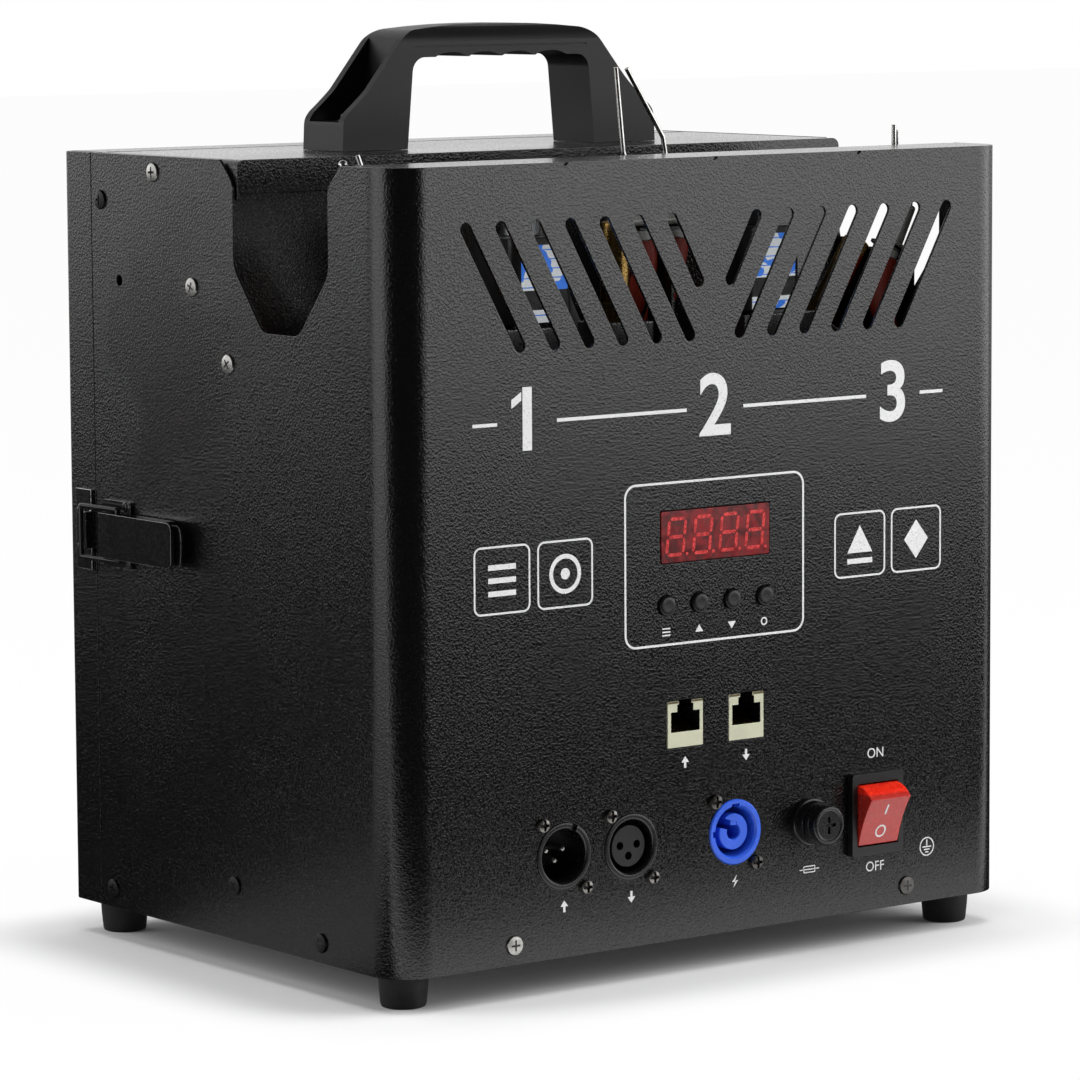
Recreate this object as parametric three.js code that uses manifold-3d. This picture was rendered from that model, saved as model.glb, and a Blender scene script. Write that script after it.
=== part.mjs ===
// Stage flame machine: a sheet-steel cabinet with three gas burner heads in an open trough,
// a carry handle, a rear door with a draw latch, and a front panel with display and sockets.
// Millimetres, +Z up. While it is built, x runs to the right, y from the front panel to the back
// and z up from the surface it stands on; the whole is then centred over its outer box.

import * as THREE from 'three';
import { mergeVertices } from 'three/addons/utils/BufferGeometryUtils.js';
import Module from 'manifold-3d';

const wasm = await Module();
wasm.setup();

// Cabinet
const cabinetWidth = 282;
const cabinetDepth = 208;
const cabinetHeight = 280;
const sheet = 1.2;
const frontCornerRadius = 15;
const doorDepth = 18.5;
const doorCornerRadius = 3;
const seam = 0.5;
const fit = 0.3;
const contact = 0.1;
const overrun = 2;
const lap = 2;
const returnFlange = 12;

// Feet
const footHeight = 12.5;
const footTopRadius = 9;
const footBottomRadius = 8.1;
const footEdge = 1.2;
const footInsetSide = 15;
const footInsetFront = 18;
const footInsetRear = 10.6;
const footHeadHeight = 1.6;
const footNutHeight = 3;
const footRecessRadius = 5;
const footRecessDepth = 7;
const footBoltSpare = 2.4;

// Trough and its side notches
const troughRear = 96.4;
const topFlangeDepth = 34;
const topFlangeEndDepth = 25;
const topFlangeChamfer = 12;
const notchFront = 37.8;
const notchRear = 96.3;
const notchStraight = 38;
const notchDepth = 60.1;
const notchFloorFront = 56;
const notchFloorRear = 78.5;
const notchTopRadius = 8;
const notchCornerRadius = 3;
const reliefPitch = 67;
const reliefWidth = 3.4;
const reliefDepth = 1.3;
const reliefCount = 5;

// Vent slots
const slotWidth = 4.6;
const slotPitch = 15.1;
const slotTop = 21.8;
const slotBottom = 62.8;
const slotLean = 22.9;
const slotInnerTop = 34.3;
const slotCount = 6;
const shortSlotTop = 19.2;
const shortSlotLean = 11.9;
const shortSlotBottom = 43.8;

// Tray, lid and partition
const trayFlange = 15;
const lidFlange = 14;
const lidFrontLip = 12;
const lidBendRadius = 3;
const lidEarLength = 14;
const lidEarDrop = 10;
const partitionFlange = 10;

// Screws through the shell: depth from the front, height above the cabinet's bottom edge
const screwHeadRadius = 3.4;
const screwHeadHeight = 0.8;
const screwShankRadius = 1.6;
const screwLength = 6;
const screwHoleRadius = 2;
const lidScrewDepth = 147.3;
const lidScrewHeight = 274;
const rackScrewDepth = 122.7;
const rackSpareHoleInset = 5.1;
const rackScrewHeight = 233.8;
const partitionScrewDepth = 100;
const partitionScrewHeight = 207.6;
const partitionLowScrewHeight = 19.8;
const rearScrewInset = 25.3;
const rearScrewHeight = 262.9;
const trayScrewHeight = 7.2;
const trayFrontScrewDepth = 46.1;
const trayRearScrewInset = 27.2;
const trayFrontScrewX = 91;

// Carry handle on the lid
const handleCentre = 138;
const handleThickness = 25.4;
const handleHalfLength = 72.8;
const handleHeight = 45.8;
const handleShoulderX = 43;
const handleShoulderHeight = 43.4;
const handleElbowX = 54;
const handleElbowHeight = 30;
const handleKneeX = 71;
const handleKneeHeight = 13.2;
const handleAnkleFlare = 1.2;
const handleLegHollow = 1.2;
const handleChannelFloor = 10.5;
const handleChannelCeiling = 39;
const handleWall = 3.2;
const handleInnerWall = 4;
const gripFootX = 43.5;
const gripHeadX = 40.5;
const gripHeadHeight = 27.5;
const gripUnderside = 33.6;
const gripScallop = 1.3;
const gripScallopSpan = 15.4;
const gripScallopCount = 4;
const gripRound = 8;
const handleBoltX = 60;
const handleBoltRadius = 2.4;
const handleBoltHeadRadius = 4.4;
const handleBoltHeadHeight = 3;
const headShare = 0.75;

// Rear door hinges, on the right side
const hingeHeight = 38;
const hingeLeafWidth = 16;
const hingeLeafSheet = 1.2;
const hingeKnuckleRadius = 2.6;
const hingePinRadius = 1.1;
const hingePinHeadRadius = 1.9;
const hingePinHeadHeight = 0.8;
const hingeKnuckles = 5;
const hingeKnuckleGap = 0.3;
const hingeSpread = 85;
const rivetHeadRadius = 2;
const rivetHeadHeight = 0.7;
const rivetShankRadius = 1.1;
const rivetHoleRadius = 1.4;
const rivetLength = 3.4;
const hingeRivetInset = 6;

// Draw latch, on the left side
const latchCentreHeight = 140.5;
const latchBaseHeight = 24.6;
const latchBaseAhead = 12;
const latchBaseBehind = 11;
const latchBaseTaper = 5;
const latchEarOffset = 5.2;
const latchEarRadius = 2;
const latchPinRadius = 1;
const latchPivotInset = 13.5;
const latchPivotReach = 4.2;
const leverHeight = 16.4;
const leverLength = 45;
const leverNoseRadius = 2.6;
const leverWebSetback = 0.2;
const leverReach = 7.6;
const leverSheet = 1.2;
const tongueHeight = 13.7;
const tongueLength = 12;
const tongueRise = 2.2;
const bailWireRadius = 1;
const bailPivotOffset = 8;
const bailClearance = 0.5;
const catchHeight = 30;
const catchSetback = 1.1;
const catchLength = 10.4;
const catchSheet = 1.2;
const catchLipHeight = 14;
const catchLipReach = 2.6;
const catchRivetSpread = 13.6;
const latchRivetSpread = 20.8;
const latchRivetInset = 3;
const catchRivetInset = 3.1;

// Front panel: x from the centre line, height above the cabinet's bottom edge
const socketRowHeight = 36.4;
const socketHoleRadius = 12.1;
const dataInletX = -68.9;
const dataOutletX = -38.8;
const powerInletX = 8.9;
const socketScrewX = 9.5;
const socketScrewHeight = 12;
const socketScrewHeadRadius = 2.9;
const socketScrewHeadHeight = 1.8;
const socketScrewShankRadius = 1.3;
const socketScrewHoleRadius = 1.6;
const socketScrewLength = 6;
const screwRimShare = 0.95;
const screwDomeShare = 0.6;
const jackPitch = 28.2;
const jackWidth = 16.1;
const jackHeight = 16.8;
const jackRowHeight = 78.3;
const jackDepth = 21;
const jackCavityDepth = 15;
const jackMainWidth = 13.1;
const jackMainBottom = 5.5;
const jackMainTop = 12.8;
const jackStepWidth = 7.3;
const jackStepTop = 15.5;
const jackClipWidth = 5.8;
const displayWidth = 50.4;
const displayHeight = 19;
const displayRowHeight = 145.7;
const displayDepth = 8;
const displayProud = 0.3;
const buttonPitch = 15.05;
const buttonDrop = 24.4;
const buttonRadius = 3.5;
const buttonProud = 1.5;
const buttonCrownShare = 0.8;
const buttonFlangeRadius = 4.8;
const buttonFlangeThickness = 1;
const buttonStemLength = 4.9;
const buttonCount = 4;
const fuseX = 44;
const fuseHoleRadius = 6.3;
const fuseFlangeRadius = 8.8;
const fuseFlangeThickness = 2;
const fuseCollarRadius = 7.9;
const fuseCollarReach = 5.2;
const fuseBodyRadius = 5.9;
const fuseBodyLength = 34;
const fuseBoreRadius = 4.2;
const fuseCapRadius = 7.2;
const fuseCapReach = 11.5;
const fuseCapEdge = 0.8;
const fuseSlotLength = 6.4;
const fuseSlotWidth = 1.3;
const fuseSlotDepth = 1.4;
const fuseTubeRadius = 2.6;
const fuseTubeLength = 20;
const fuseNutRadius = 9;
const fuseNutThickness = 3;
const rockerX = 74.6;
const bezelWidth = 24.6;
const bezelHeight = 30.7;
const bezelProud = 3;
const bezelCorner = 1.2;
const rockerOpeningWidth = 19.8;
const rockerOpeningHeight = 23.4;
const rockerBodyWidth = 22;
const rockerBodyHeight = 27;
const rockerBodyDepth = 20;
const rockerWellDepth = 12;
const rockerPivotReach = 1.3;
const rockerPinRadius = 1.2;
const rockerSeatDepth = 1.5;
const rockerWidth = 19;
const rockerFaceReach = 5.9;
const rockerHalfHeight = 9.65;
const rockerBackReach = 3;
const rockerTilt = 22.8;
const rockerEndSweep = 49;
const rockerFaceSag = 0.9;

// Sockets behind the panel
const socketFlangeWidth = 26;
const socketFlangeHeight = 31;
const socketFlangeThickness = 2;
const socketFlangeCorner = 2;
const socketBodyRadius = 11;
const socketBodyDepth = 21;
const socketFrontRadius = 11.8;
const socketCavityRadius = 9.5;
const dataCavityDepth = 13;
const dataPinRadius = 1.2;
const dataPinLength = 11;
const dataPinCircle = 3.9;
const dataInsertRadius = 7.6;
const dataInsertRecess = 1.6;
const dataHoleRadius = 1.5;
const dataHoleDepth = 9;
const powerCavityRadius = 9;
const powerCavityDepth = 14;
const powerCoreRadius = 6.6;
const powerCoreRecess = 0.8;
const powerCoreBoreRadius = 2.9;
const powerKeyWidth = 3.6;
const powerKeyInset = 2;
const powerKeyOutset = 1;
const powerCoreFloor = 2;

// Boards and boxes in the front bay
const boardThickness = 1.6;
const controlBoardWidth = 84;
const controlBoardHeight = 58;
const controlBoardDrop = 9.7;
const controlBoardDepth = 10;
const standoffRadius = 2.6;
const standoffInset = 4;
const keySwitchSide = 6;
const keySwitchDepth = 2.6;
const dataBoardLeft = -90;
const dataBoardRight = 30;
const dataBoardBottom = 16;
const dataBoardTop = 94;
const supplyWidth = 126;
const supplyDepth = 50;
const supplyHeight = 40;
const supplyFront = 42;
const igniterWidth = 124;
const igniterTowerPitch = 20;
const igniterDepth = 32;
const igniterHeight = 58;
const igniterBottom = 96;
const igniterTowerRadius = 4.6;
const igniterTowerHeight = 7;

// Burner heads
const deckHeight = 205;
const deckLip = 10;
const headDepth = 44;
const headHalfWidth = 10;
const valveHeight = 14.6;
const valveInnerX = 42;
const valveSlopeX = 76;
const valveOuterX = 94;
const centreHeadX = -10.5;
const nozzleTilt = 33;
const nozzleRadius = 5.4;
const nozzleBore = 2.2;
const nozzleBoreDepth = 26;
const nozzleNeckRadius = 4;
const nozzleRootLength = 6;
const nozzleHexRadius = 7.6;
const nozzleHexHeight = 7;
const nozzleLength = 36;
const nozzleEdge = 1;
const coilX = 52.8;
const coilWidth = 27;
const coilHeight = 31;
const coilCorner = 4;
const coilLift = 1.5;
const coreRadius = 4;
const coreNutRadius = 7.4;
const coreNutHeight = 7;
const coreCapHeight = 2;
const electrodeRadius = 0.9;
const electrodeBallRadius = 1.6;
const electrodeRise = 1;
const insulatorRadius = 3.3;
const insulatorTipRadius = 2.4;
const insulatorLength = 24;
const collarRadius = 4.6;
const collarBase = 6.5;
const collarHeight = 1.8;
const sideInsulatorX = 109;
const sideInsulatorHeight = 236;
const sideInsulatorTilt = 30;
const sideInsulatorSpread = 11;
const sideBracketX = 118.2;
const sideBracketBend = 237.7;
const sideBracketPlate = 15;
const sideBracketHalfWidth = 17;
const centreInsulatorXs = [3, 19];
const centreInsulatorHeight = 248;
const centreInsulatorTilt = -12;
const centreBracketX = 10;
const centreBracketFrom = -4.5;
const centreBracketTo = 24.5;
const centreBracketHeight = 253.2;
const centreBracketHalfWidth = 7;
const bracketThickness = 1.2;
const leadRadius = 2.2;
const leadHoleRadius = 3.4;

// Free ends of the electrodes: x, depth and height above the cabinet's bottom edge
const electrodeEnds = [
  [[-123.5, 38, 268], [-122.5, 42, 276], [-124.5, 43, 282.7]],
  [[-127, 50, 268], [-128, 48, 274], [-128.5, 46, 279.6]],
  [[-5.8, 45, 280], [-9, 45, 310.8]],
  [[13.5, 45, 279.8], [12.5, 45, 285.3], [-4.1, 45, 310.3]],
  [[123, 37, 264], [121, 42, 272], [121, 42, 286.9]],
  [[126.5, 51, 268], [127.7, 48, 276], [126.5, 47, 284.6]],
];

// Ways of the spark leads from the ceramics through the deck to the spark module
const leadWays = [
  [[-104, 31, 225], [-106, 29, 213], [-106, 29, 200], [-98, 42, 184], [-56, 78, 172]],
  [[-104, 58, 225], [-104, 60, 213], [-104, 60, 200], [-88, 68, 186], [-36, 79, 173]],
  [[5, 46, 238], [5, 55, 222], [5, 62, 208], [5, 62, 200], [-8, 76, 176]],
  [[18, 46, 238], [17, 53, 222], [17, 61, 208], [17, 61, 200], [11, 77, 176]],
  [[104, 31, 225], [106, 29, 213], [106, 29, 200], [98, 42, 184], [36, 78, 172]],
  [[104, 58, 225], [104, 60, 213], [104, 60, 200], [88, 68, 186], [56, 79, 173]],
];

// Gas cans at the back
const canDiameterShare = 0.71121;
const canPitch = 86;
const canClearance = 11.1;
const canBodyHeight = 178;
const canRimInset = 1.6;
const canRimHeight = 3;
const canShoulderHeight = 192;
const canNeckRadius = 16;
const canCupRadius = 12.5;
const canCupHeight = 200;
const canStemRadius = 2.2;
const canStemTop = 208;
const canDomeRise = 8;
const canDomeInset = 7;
const rackHeight = 240;
const rackClearance = 15.3;
const rackRearInset = 13.5;
const rackFlange = 13;
const couplingRadius = 9;
const couplingBottom = 202.5;
const couplingSocketRadius = 3.4;
const couplingSocketTop = 210;
const couplingFlangeRadius = 13;
const couplingFlangeHeight = 3;
const couplingTopHeight = 254;
const couplingTopRadius = 6.5;
const hoseRadius = 3;
const hoseHoleRadius = 4.5;
const hosePassXs = [-68, -10.5, 68];
const hosePassHeight = 247;
const hoseCrest = 264;
const hoseBend = 9;
const hoseValveHeight = 212.4;

// Facets
const roundSides = 16;
const midSides = 10;
const smallSides = 8;
const bendSteps = 4;
const slotSteps = 2;
const canSides = 16;
const wireSides = 6;
const hoseSteps = 10;
const hexSides = 6;

// Worked-out places
const half = cabinetWidth / 2;
const bottom = footHeight;
const top = footHeight + cabinetHeight;
const shellRear = cabinetDepth - doorDepth - seam;
const doorFront = cabinetDepth - doorDepth;
const innerHalf = half - sheet - fit;
const straightHalf = half - frontCornerRadius;
const lidFlatHalf = innerHalf - lidBendRadius;
const hingeAxisX = half + contact + hingeKnuckleRadius;
const hingeAxisY = shellRear + seam / 2;
const partitionFace = troughRear + fit;
const deckTop = bottom + deckHeight;
const at = (heightAboveEdge) => bottom + heightAboveEdge;
const hingeHeights = [-1, 1].map((end) => cabinetHeight / 2 + end * hingeSpread);
const rearScrewDepth = cabinetDepth - rearScrewInset;
const trayRearScrewDepth = cabinetDepth - trayRearScrewInset;
const rackFront = partitionFace + rackClearance;
const rackRear = doorFront - rackRearInset;
const rackSpareHoleDepth = rackRear - rackSpareHoleInset;
const canRadius = (doorFront - partitionFace) * canDiameterShare / 2;
const canDepth = partitionFace + sheet + canClearance + canRadius;
const latchPivotDepth = doorFront - latchPivotInset;
const latchBaseFront = latchPivotDepth - latchBaseAhead;
const latchBaseRear = latchPivotDepth + latchBaseBehind;
const leverFront = latchPivotDepth - leverLength;
const leverWebEnd = latchPivotDepth - leverWebSetback;
const bailPivotDepth = latchPivotDepth - bailPivotOffset;
const catchFront = doorFront + catchSetback;
const catchRear = catchFront + catchLength;
const buttonRowHeight = displayRowHeight - buttonDrop;
const controlBoardRowHeight = displayRowHeight - controlBoardDrop;

// Finishes
const finish = (color, roughness, metalness) =>
  new THREE.MeshStandardMaterial({ color, roughness, metalness });
const powderCoat = () => finish(0x17181a, 0.55, 0.25);
const zincPlate = () => finish(0xb9bcc0, 0.35, 0.9);
const blackSteel = () => finish(0x1b1c1e, 0.4, 0.8);
const blackPlastic = () => finish(0x141415, 0.45, 0);
const blackRubber = () => finish(0x101010, 0.85, 0);
const brass = () => finish(0xc79a45, 0.3, 1);
const ceramic = () => finish(0xdad9d2, 0.35, 0);
const bluePlastic = () => finish(0x2f5fd0, 0.4, 0);
const creamPlastic = () => finish(0xdedfca, 0.5, 0);
const redPlastic = () => finish(0xd2231b, 0.3, 0);
const redWindow = () => finish(0xa5121a, 0.15, 0);
const boardGreen = () => finish(0x1d5a3a, 0.5, 0);
const clearGlass = () => finish(0xcfe0df, 0.1, 0);
const canPaint = () => finish(0xc7cbd0, 0.3, 0.6);
const supplyMetal = () => finish(0xa7abae, 0.45, 0.8);
const coilBlue = () => finish(0x2a6fd6, 0.5, 0);

// Solids from three.js shapes
function solid(geometry) {
  const bare = geometry.index ? geometry.toNonIndexed() : geometry.clone();
  bare.deleteAttribute('normal');
  bare.deleteAttribute('uv');
  const merged = mergeVertices(bare);
  return new wasm.Manifold(new wasm.Mesh({
    numProp: 3,
    vertProperties: Float32Array.from(merged.attributes.position.array),
    triVerts: Uint32Array.from(merged.index.array),
  }));
}

function join(solids) {
  return solids.reduce((whole, piece) => whole.add(piece));
}

function cut(body, tools) {
  return tools.reduce((rest, tool) => rest.subtract(tool), body);
}

function geometryOf(body) {
  const mesh = body.getMesh();
  const geometry = new THREE.BufferGeometry();
  geometry.setAttribute('position', new THREE.BufferAttribute(Float32Array.from(mesh.vertProperties), 3));
  geometry.setIndex(new THREE.BufferAttribute(Uint32Array.from(mesh.triVerts), 1));
  return geometry;
}

function block(x0, x1, y0, y1, z0, z1) {
  const box = new THREE.BoxGeometry(x1 - x0, y1 - y0, z1 - z0);
  box.translate((x0 + x1) / 2, (y0 + y1) / 2, (z0 + z1) / 2);
  return solid(box);
}

const axisX = new THREE.Vector3(1, 0, 0);
const axisY = new THREE.Vector3(0, 1, 0);
const axisZ = new THREE.Vector3(0, 0, 1);
const forward = new THREE.Vector3(0, -1, 0);
const left = new THREE.Vector3(-1, 0, 0);
const down = new THREE.Vector3(0, 0, -1);
const point = (x, y, z) => new THREE.Vector3(x, y, z);

// Turns a geometry made along +Z so that it points along a direction, and moves it to a place.
function aim(geometry, direction, place) {
  const turn = new THREE.Quaternion().setFromUnitVectors(axisZ, direction);
  geometry.applyQuaternion(turn);
  geometry.translate(place.x, place.y, place.z);
  return geometry;
}

// A round bar that starts at a place and runs along a direction.
function bar(place, direction, radius, length, sides = roundSides) {
  const cylinder = new THREE.CylinderGeometry(radius, radius, length, sides);
  cylinder.rotateX(Math.PI / 2);
  cylinder.translate(0, 0, length / 2);
  return solid(aim(cylinder, direction, place));
}

// A turned piece: its profile runs up from the axis and back to it, as pairs of radius and height.
function turned(profile, place, direction = axisZ, sides = roundSides) {
  const lathe = new THREE.LatheGeometry(profile.map(([r, h]) => new THREE.Vector2(r, h)), sides);
  lathe.rotateX(Math.PI / 2);
  return solid(aim(lathe, direction, place));
}

function extruded(shape, length, steps = bendSteps) {
  return new THREE.ExtrudeGeometry(shape, { depth: length, bevelEnabled: false, curveSegments: steps });
}

// An outline in x and y, standing up along z.
function upright(shape, z0, z1, steps = bendSteps) {
  const geometry = extruded(shape, z1 - z0, steps);
  geometry.translate(0, 0, z0);
  return solid(geometry);
}

// An outline in x and z, running back along y.
function alongDepth(shape, y0, y1, steps = bendSteps) {
  const geometry = extruded(shape, y1 - y0, steps);
  geometry.rotateX(Math.PI / 2);
  geometry.translate(0, y1, 0);
  return solid(geometry);
}

// An outline in y and z, running across along x.
function alongWidth(shape, x0, x1, steps = bendSteps) {
  const geometry = extruded(shape, x1 - x0, steps);
  geometry.applyMatrix4(new THREE.Matrix4().makeBasis(axisY, axisZ, axisX));
  geometry.translate(x0, 0, 0);
  return solid(geometry);
}

// A closed outline through corners of [a, b, radius], each corner rounded by its radius.
function outline(corners) {
  const shape = new THREE.Shape();
  const count = corners.length;
  corners.forEach(([a, b, radius = 0], index) => {
    const corner = new THREE.Vector2(a, b);
    const before = new THREE.Vector2(...corners[(index + count - 1) % count].slice(0, 2));
    const after = new THREE.Vector2(...corners[(index + 1) % count].slice(0, 2));
    const into = before.sub(corner).setLength(radius).add(corner);
    const outOf = after.sub(corner).setLength(radius).add(corner);
    if (index === 0) {
      shape.moveTo(radius ? into.x : a, radius ? into.y : b);
    } else {
      shape.lineTo(radius ? into.x : a, radius ? into.y : b);
    }
    if (radius) {
      shape.quadraticCurveTo(a, b, outOf.x, outOf.y);
    }
  });
  shape.closePath();
  return shape;
}

const rectangle = (a0, a1, b0, b1, radius = 0) =>
  outline([[a0, b0, radius], [a1, b0, radius], [a1, b1, radius], [a0, b1, radius]]);

// A slot with round ends between two points of its centre line.
function slotOutline(a0, b0, a1, b1, width) {
  const shape = new THREE.Shape();
  const angle = Math.atan2(b1 - b0, a1 - a0);
  shape.absarc(a0, b0, width / 2, angle + Math.PI / 2, angle + 1.5 * Math.PI, false);
  shape.absarc(a1, b1, width / 2, angle - Math.PI / 2, angle + Math.PI / 2, false);
  shape.closePath();
  return shape;
}

// A hose of one radius along a smooth way through chosen points.
function hose(points, radius, sides) {
  const path = new THREE.CatmullRomCurve3(points, false, 'centripetal');
  const section = new THREE.Shape();
  section.absarc(0, 0, radius, 0, 2 * Math.PI, false);
  return solid(new THREE.ExtrudeGeometry(section, {
    extrudePath: path, steps: hoseSteps, curveSegments: sides, bevelEnabled: false,
  }));
}

function ball(place, radius) {
  const sphere = new THREE.SphereGeometry(radius, wireSides, wireSides / 2);
  sphere.translate(place.x, place.y, place.z);
  return solid(sphere);
}

function rod(from, to, radius) {
  const run = to.clone().sub(from);
  return bar(from, run.clone().normalize(), radius, run.length(), wireSides);
}

// A stiff wire bent at chosen points.
function bentWire(points, radius) {
  return join(points.slice(1).map((end, index) => rod(points[index], end, radius)));
}

const model = new THREE.Group();
const cabinet = new THREE.Group();
const rearDoor = new THREE.Group();
const frontPanel = new THREE.Group();
const burners = new THREE.Group();
const gasBay = new THREE.Group();
model.add(cabinet, rearDoor, frontPanel, burners, gasBay);

function add(group, name, material, body) {
  const mesh = new THREE.Mesh(geometryOf(body), material);
  mesh.name = name;
  group.add(mesh);
  return mesh;
}

const sides = [-1, 1];

// Front shell: front panel and both sides in one bent sheet, open above the trough
function shellOutline() {
  const shape = new THREE.Shape();
  const inner = frontCornerRadius - sheet;
  shape.moveTo(-half, shellRear);
  shape.lineTo(-half, frontCornerRadius);
  shape.absarc(-straightHalf, frontCornerRadius, frontCornerRadius, Math.PI, 1.5 * Math.PI, false);
  shape.absarc(straightHalf, frontCornerRadius, frontCornerRadius, 1.5 * Math.PI, 2 * Math.PI, false);
  shape.lineTo(half, shellRear);
  shape.lineTo(half - returnFlange, shellRear);
  shape.lineTo(half - returnFlange, shellRear - sheet);
  shape.lineTo(half - sheet, shellRear - sheet);
  shape.absarc(straightHalf, frontCornerRadius, inner, 2 * Math.PI, 1.5 * Math.PI, true);
  shape.absarc(-straightHalf, frontCornerRadius, inner, 1.5 * Math.PI, Math.PI, true);
  shape.lineTo(-half + sheet, shellRear - sheet);
  shape.lineTo(-half + returnFlange, shellRear - sheet);
  shape.lineTo(-half + returnFlange, shellRear);
  shape.closePath();
  return shape;
}

function topFlangeOutline() {
  const shape = new THREE.Shape();
  shape.moveTo(-half, topFlangeEndDepth);
  shape.lineTo(-half, frontCornerRadius);
  shape.absarc(-straightHalf, frontCornerRadius, frontCornerRadius, Math.PI, 1.5 * Math.PI, false);
  shape.absarc(straightHalf, frontCornerRadius, frontCornerRadius, 1.5 * Math.PI, 2 * Math.PI, false);
  shape.lineTo(half, topFlangeEndDepth);
  shape.lineTo(half - topFlangeChamfer, topFlangeDepth);
  shape.lineTo(-half + topFlangeChamfer, topFlangeDepth);
  shape.closePath();
  return shape;
}

function sideNotch(side) {
  const above = top + overrun;
  const flare = notchTopRadius;
  const shape = outline([
    [notchFront - flare, above],
    [notchFront - flare, top],
    [notchFront, top - flare, notchCornerRadius],
    [notchFront, top - notchStraight, notchCornerRadius],
    [notchFloorFront, top - notchDepth, notchCornerRadius],
    [notchFloorRear, top - notchDepth, notchCornerRadius],
    [notchRear, top - notchStraight, notchCornerRadius],
    [notchRear, top - flare, notchCornerRadius],
    [notchRear + flare, top],
    [notchRear + flare, above],
  ]);
  const x = side * (half - sheet / 2);
  return alongWidth(shape, x - sheet - overrun, x + sheet + overrun);
}

function frontHole(x, height, radius, facets = hexSides) {
  return bar(point(x, -overrun, at(height)), axisY, radius, sheet + 2 * overrun, facets);
}

function sideHole(side, depth, height, radius = screwHoleRadius) {
  const start = point(side * (half + overrun), depth, at(height));
  return bar(start, side > 0 ? left : axisX, radius, sheet + 2 * overrun, hexSides);
}

function ventSlots() {
  const tools = [];
  for (const side of sides) {
    for (let index = 0; index < slotCount; index += 1) {
      const x = side * (slotInnerTop + index * slotPitch);
      const lower = x - side * slotLean;
      tools.push(slotOutline(x, top - slotTop, lower, top - slotBottom, slotWidth));
    }
    const shortX = side * shortSlotTop;
    const shortLower = shortX - side * shortSlotLean;
    tools.push(slotOutline(shortX, top - slotTop, shortLower, top - shortSlotBottom, slotWidth));
  }
  return tools.map((shape) => alongDepth(shape, -overrun, sheet + overrun, slotSteps));
}

const sideScrews = [
  [lidScrewDepth, lidScrewHeight],
  [rackScrewDepth, rackScrewHeight],
  [partitionScrewDepth, partitionScrewHeight],
];
const sideBlackScrews = [
  [rearScrewDepth, rearScrewHeight],
  [partitionScrewDepth, partitionLowScrewHeight],
  [trayFrontScrewDepth, trayScrewHeight],
  [trayRearScrewDepth, trayScrewHeight],
];
const socketXs = [dataInletX, dataOutletX, powerInletX];
const socketScrewPlaces = socketXs.flatMap((x) => [
  [x - socketScrewX, socketRowHeight + socketScrewHeight],
  [x + socketScrewX, socketRowHeight - socketScrewHeight],
]);
const buttonX = (index) => (index - (buttonCount - 1) / 2) * buttonPitch;
const jackX = (side) => side * jackPitch / 2;

function panelOpenings() {
  const window = rectangle(-displayWidth / 2, displayWidth / 2,
    at(displayRowHeight) - displayHeight / 2, at(displayRowHeight) + displayHeight / 2);
  const rocker = rectangle(rockerX - rockerBodyWidth / 2 - fit, rockerX + rockerBodyWidth / 2 + fit,
    at(socketRowHeight) - rockerBodyHeight / 2 - fit, at(socketRowHeight) + rockerBodyHeight / 2 + fit);
  const jacks = sides.map((side) => rectangle(
    jackX(side) - jackWidth / 2 - fit, jackX(side) + jackWidth / 2 + fit,
    at(jackRowHeight) - jackHeight / 2 - fit, at(jackRowHeight) + jackHeight / 2 + fit));
  const tools = [window, rocker, ...jacks].map((shape) => alongDepth(shape, -overrun, sheet + overrun));
  for (let index = 0; index < buttonCount; index += 1) {
    tools.push(frontHole(buttonX(index), buttonRowHeight, buttonRadius + fit, midSides));
  }
  socketXs.forEach((x) => tools.push(frontHole(x, socketRowHeight, socketHoleRadius, roundSides)));
  socketScrewPlaces.forEach(([x, height]) => tools.push(frontHole(x, height, socketScrewHoleRadius)));
  tools.push(frontHole(fuseX, socketRowHeight, fuseHoleRadius, roundSides));
  sides.forEach((side) => tools.push(frontHole(side * trayFrontScrewX, trayScrewHeight, screwHoleRadius)));
  return tools;
}

function foldReliefs() {
  const tools = [];
  for (let index = 0; index < reliefCount; index += 1) {
    const x = (index - (reliefCount - 1) / 2) * reliefPitch;
    const shape = outline([
      [x - reliefWidth / 2, top + contact],
      [x, top - reliefDepth],
      [x + reliefWidth / 2, top + contact],
    ]);
    tools.push(alongDepth(shape, -overrun, sheet));
  }
  return tools;
}

function frontShell() {
  const bent = upright(shellOutline(), bottom, top);
  const flange = upright(topFlangeOutline(), top - sheet, top);
  const returnInner = half - returnFlange - overrun;
  const trims = sides.flatMap((side) => {
    const x0 = Math.min(side * returnInner, side * (half - sheet));
    const x1 = Math.max(side * returnInner, side * (half - sheet));
    const front = shellRear - sheet - fit;
    const rear = shellRear + overrun;
    return [
      block(x0, x1, front, rear, bottom - overrun, bottom + trayFlange + fit),
      block(x0, x1, front, rear, top - lidFlange - fit, top + overrun),
    ];
  });
  const holes = sides.flatMap((side) => [
    ...[...sideScrews, ...sideBlackScrews].map(([depth, height]) => sideHole(side, depth, height)),
    sideHole(side, rackSpareHoleDepth, rackScrewHeight),
    ...hingeRivetPlaces(side).map(([depth, height]) => sideHole(side, depth, height, rivetHoleRadius)),
    sideNotch(side),
  ]);
  return cut(bent.add(flange), [...trims, ...holes, ...ventSlots(), ...panelOpenings(), ...foldReliefs()]);
}

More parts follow.
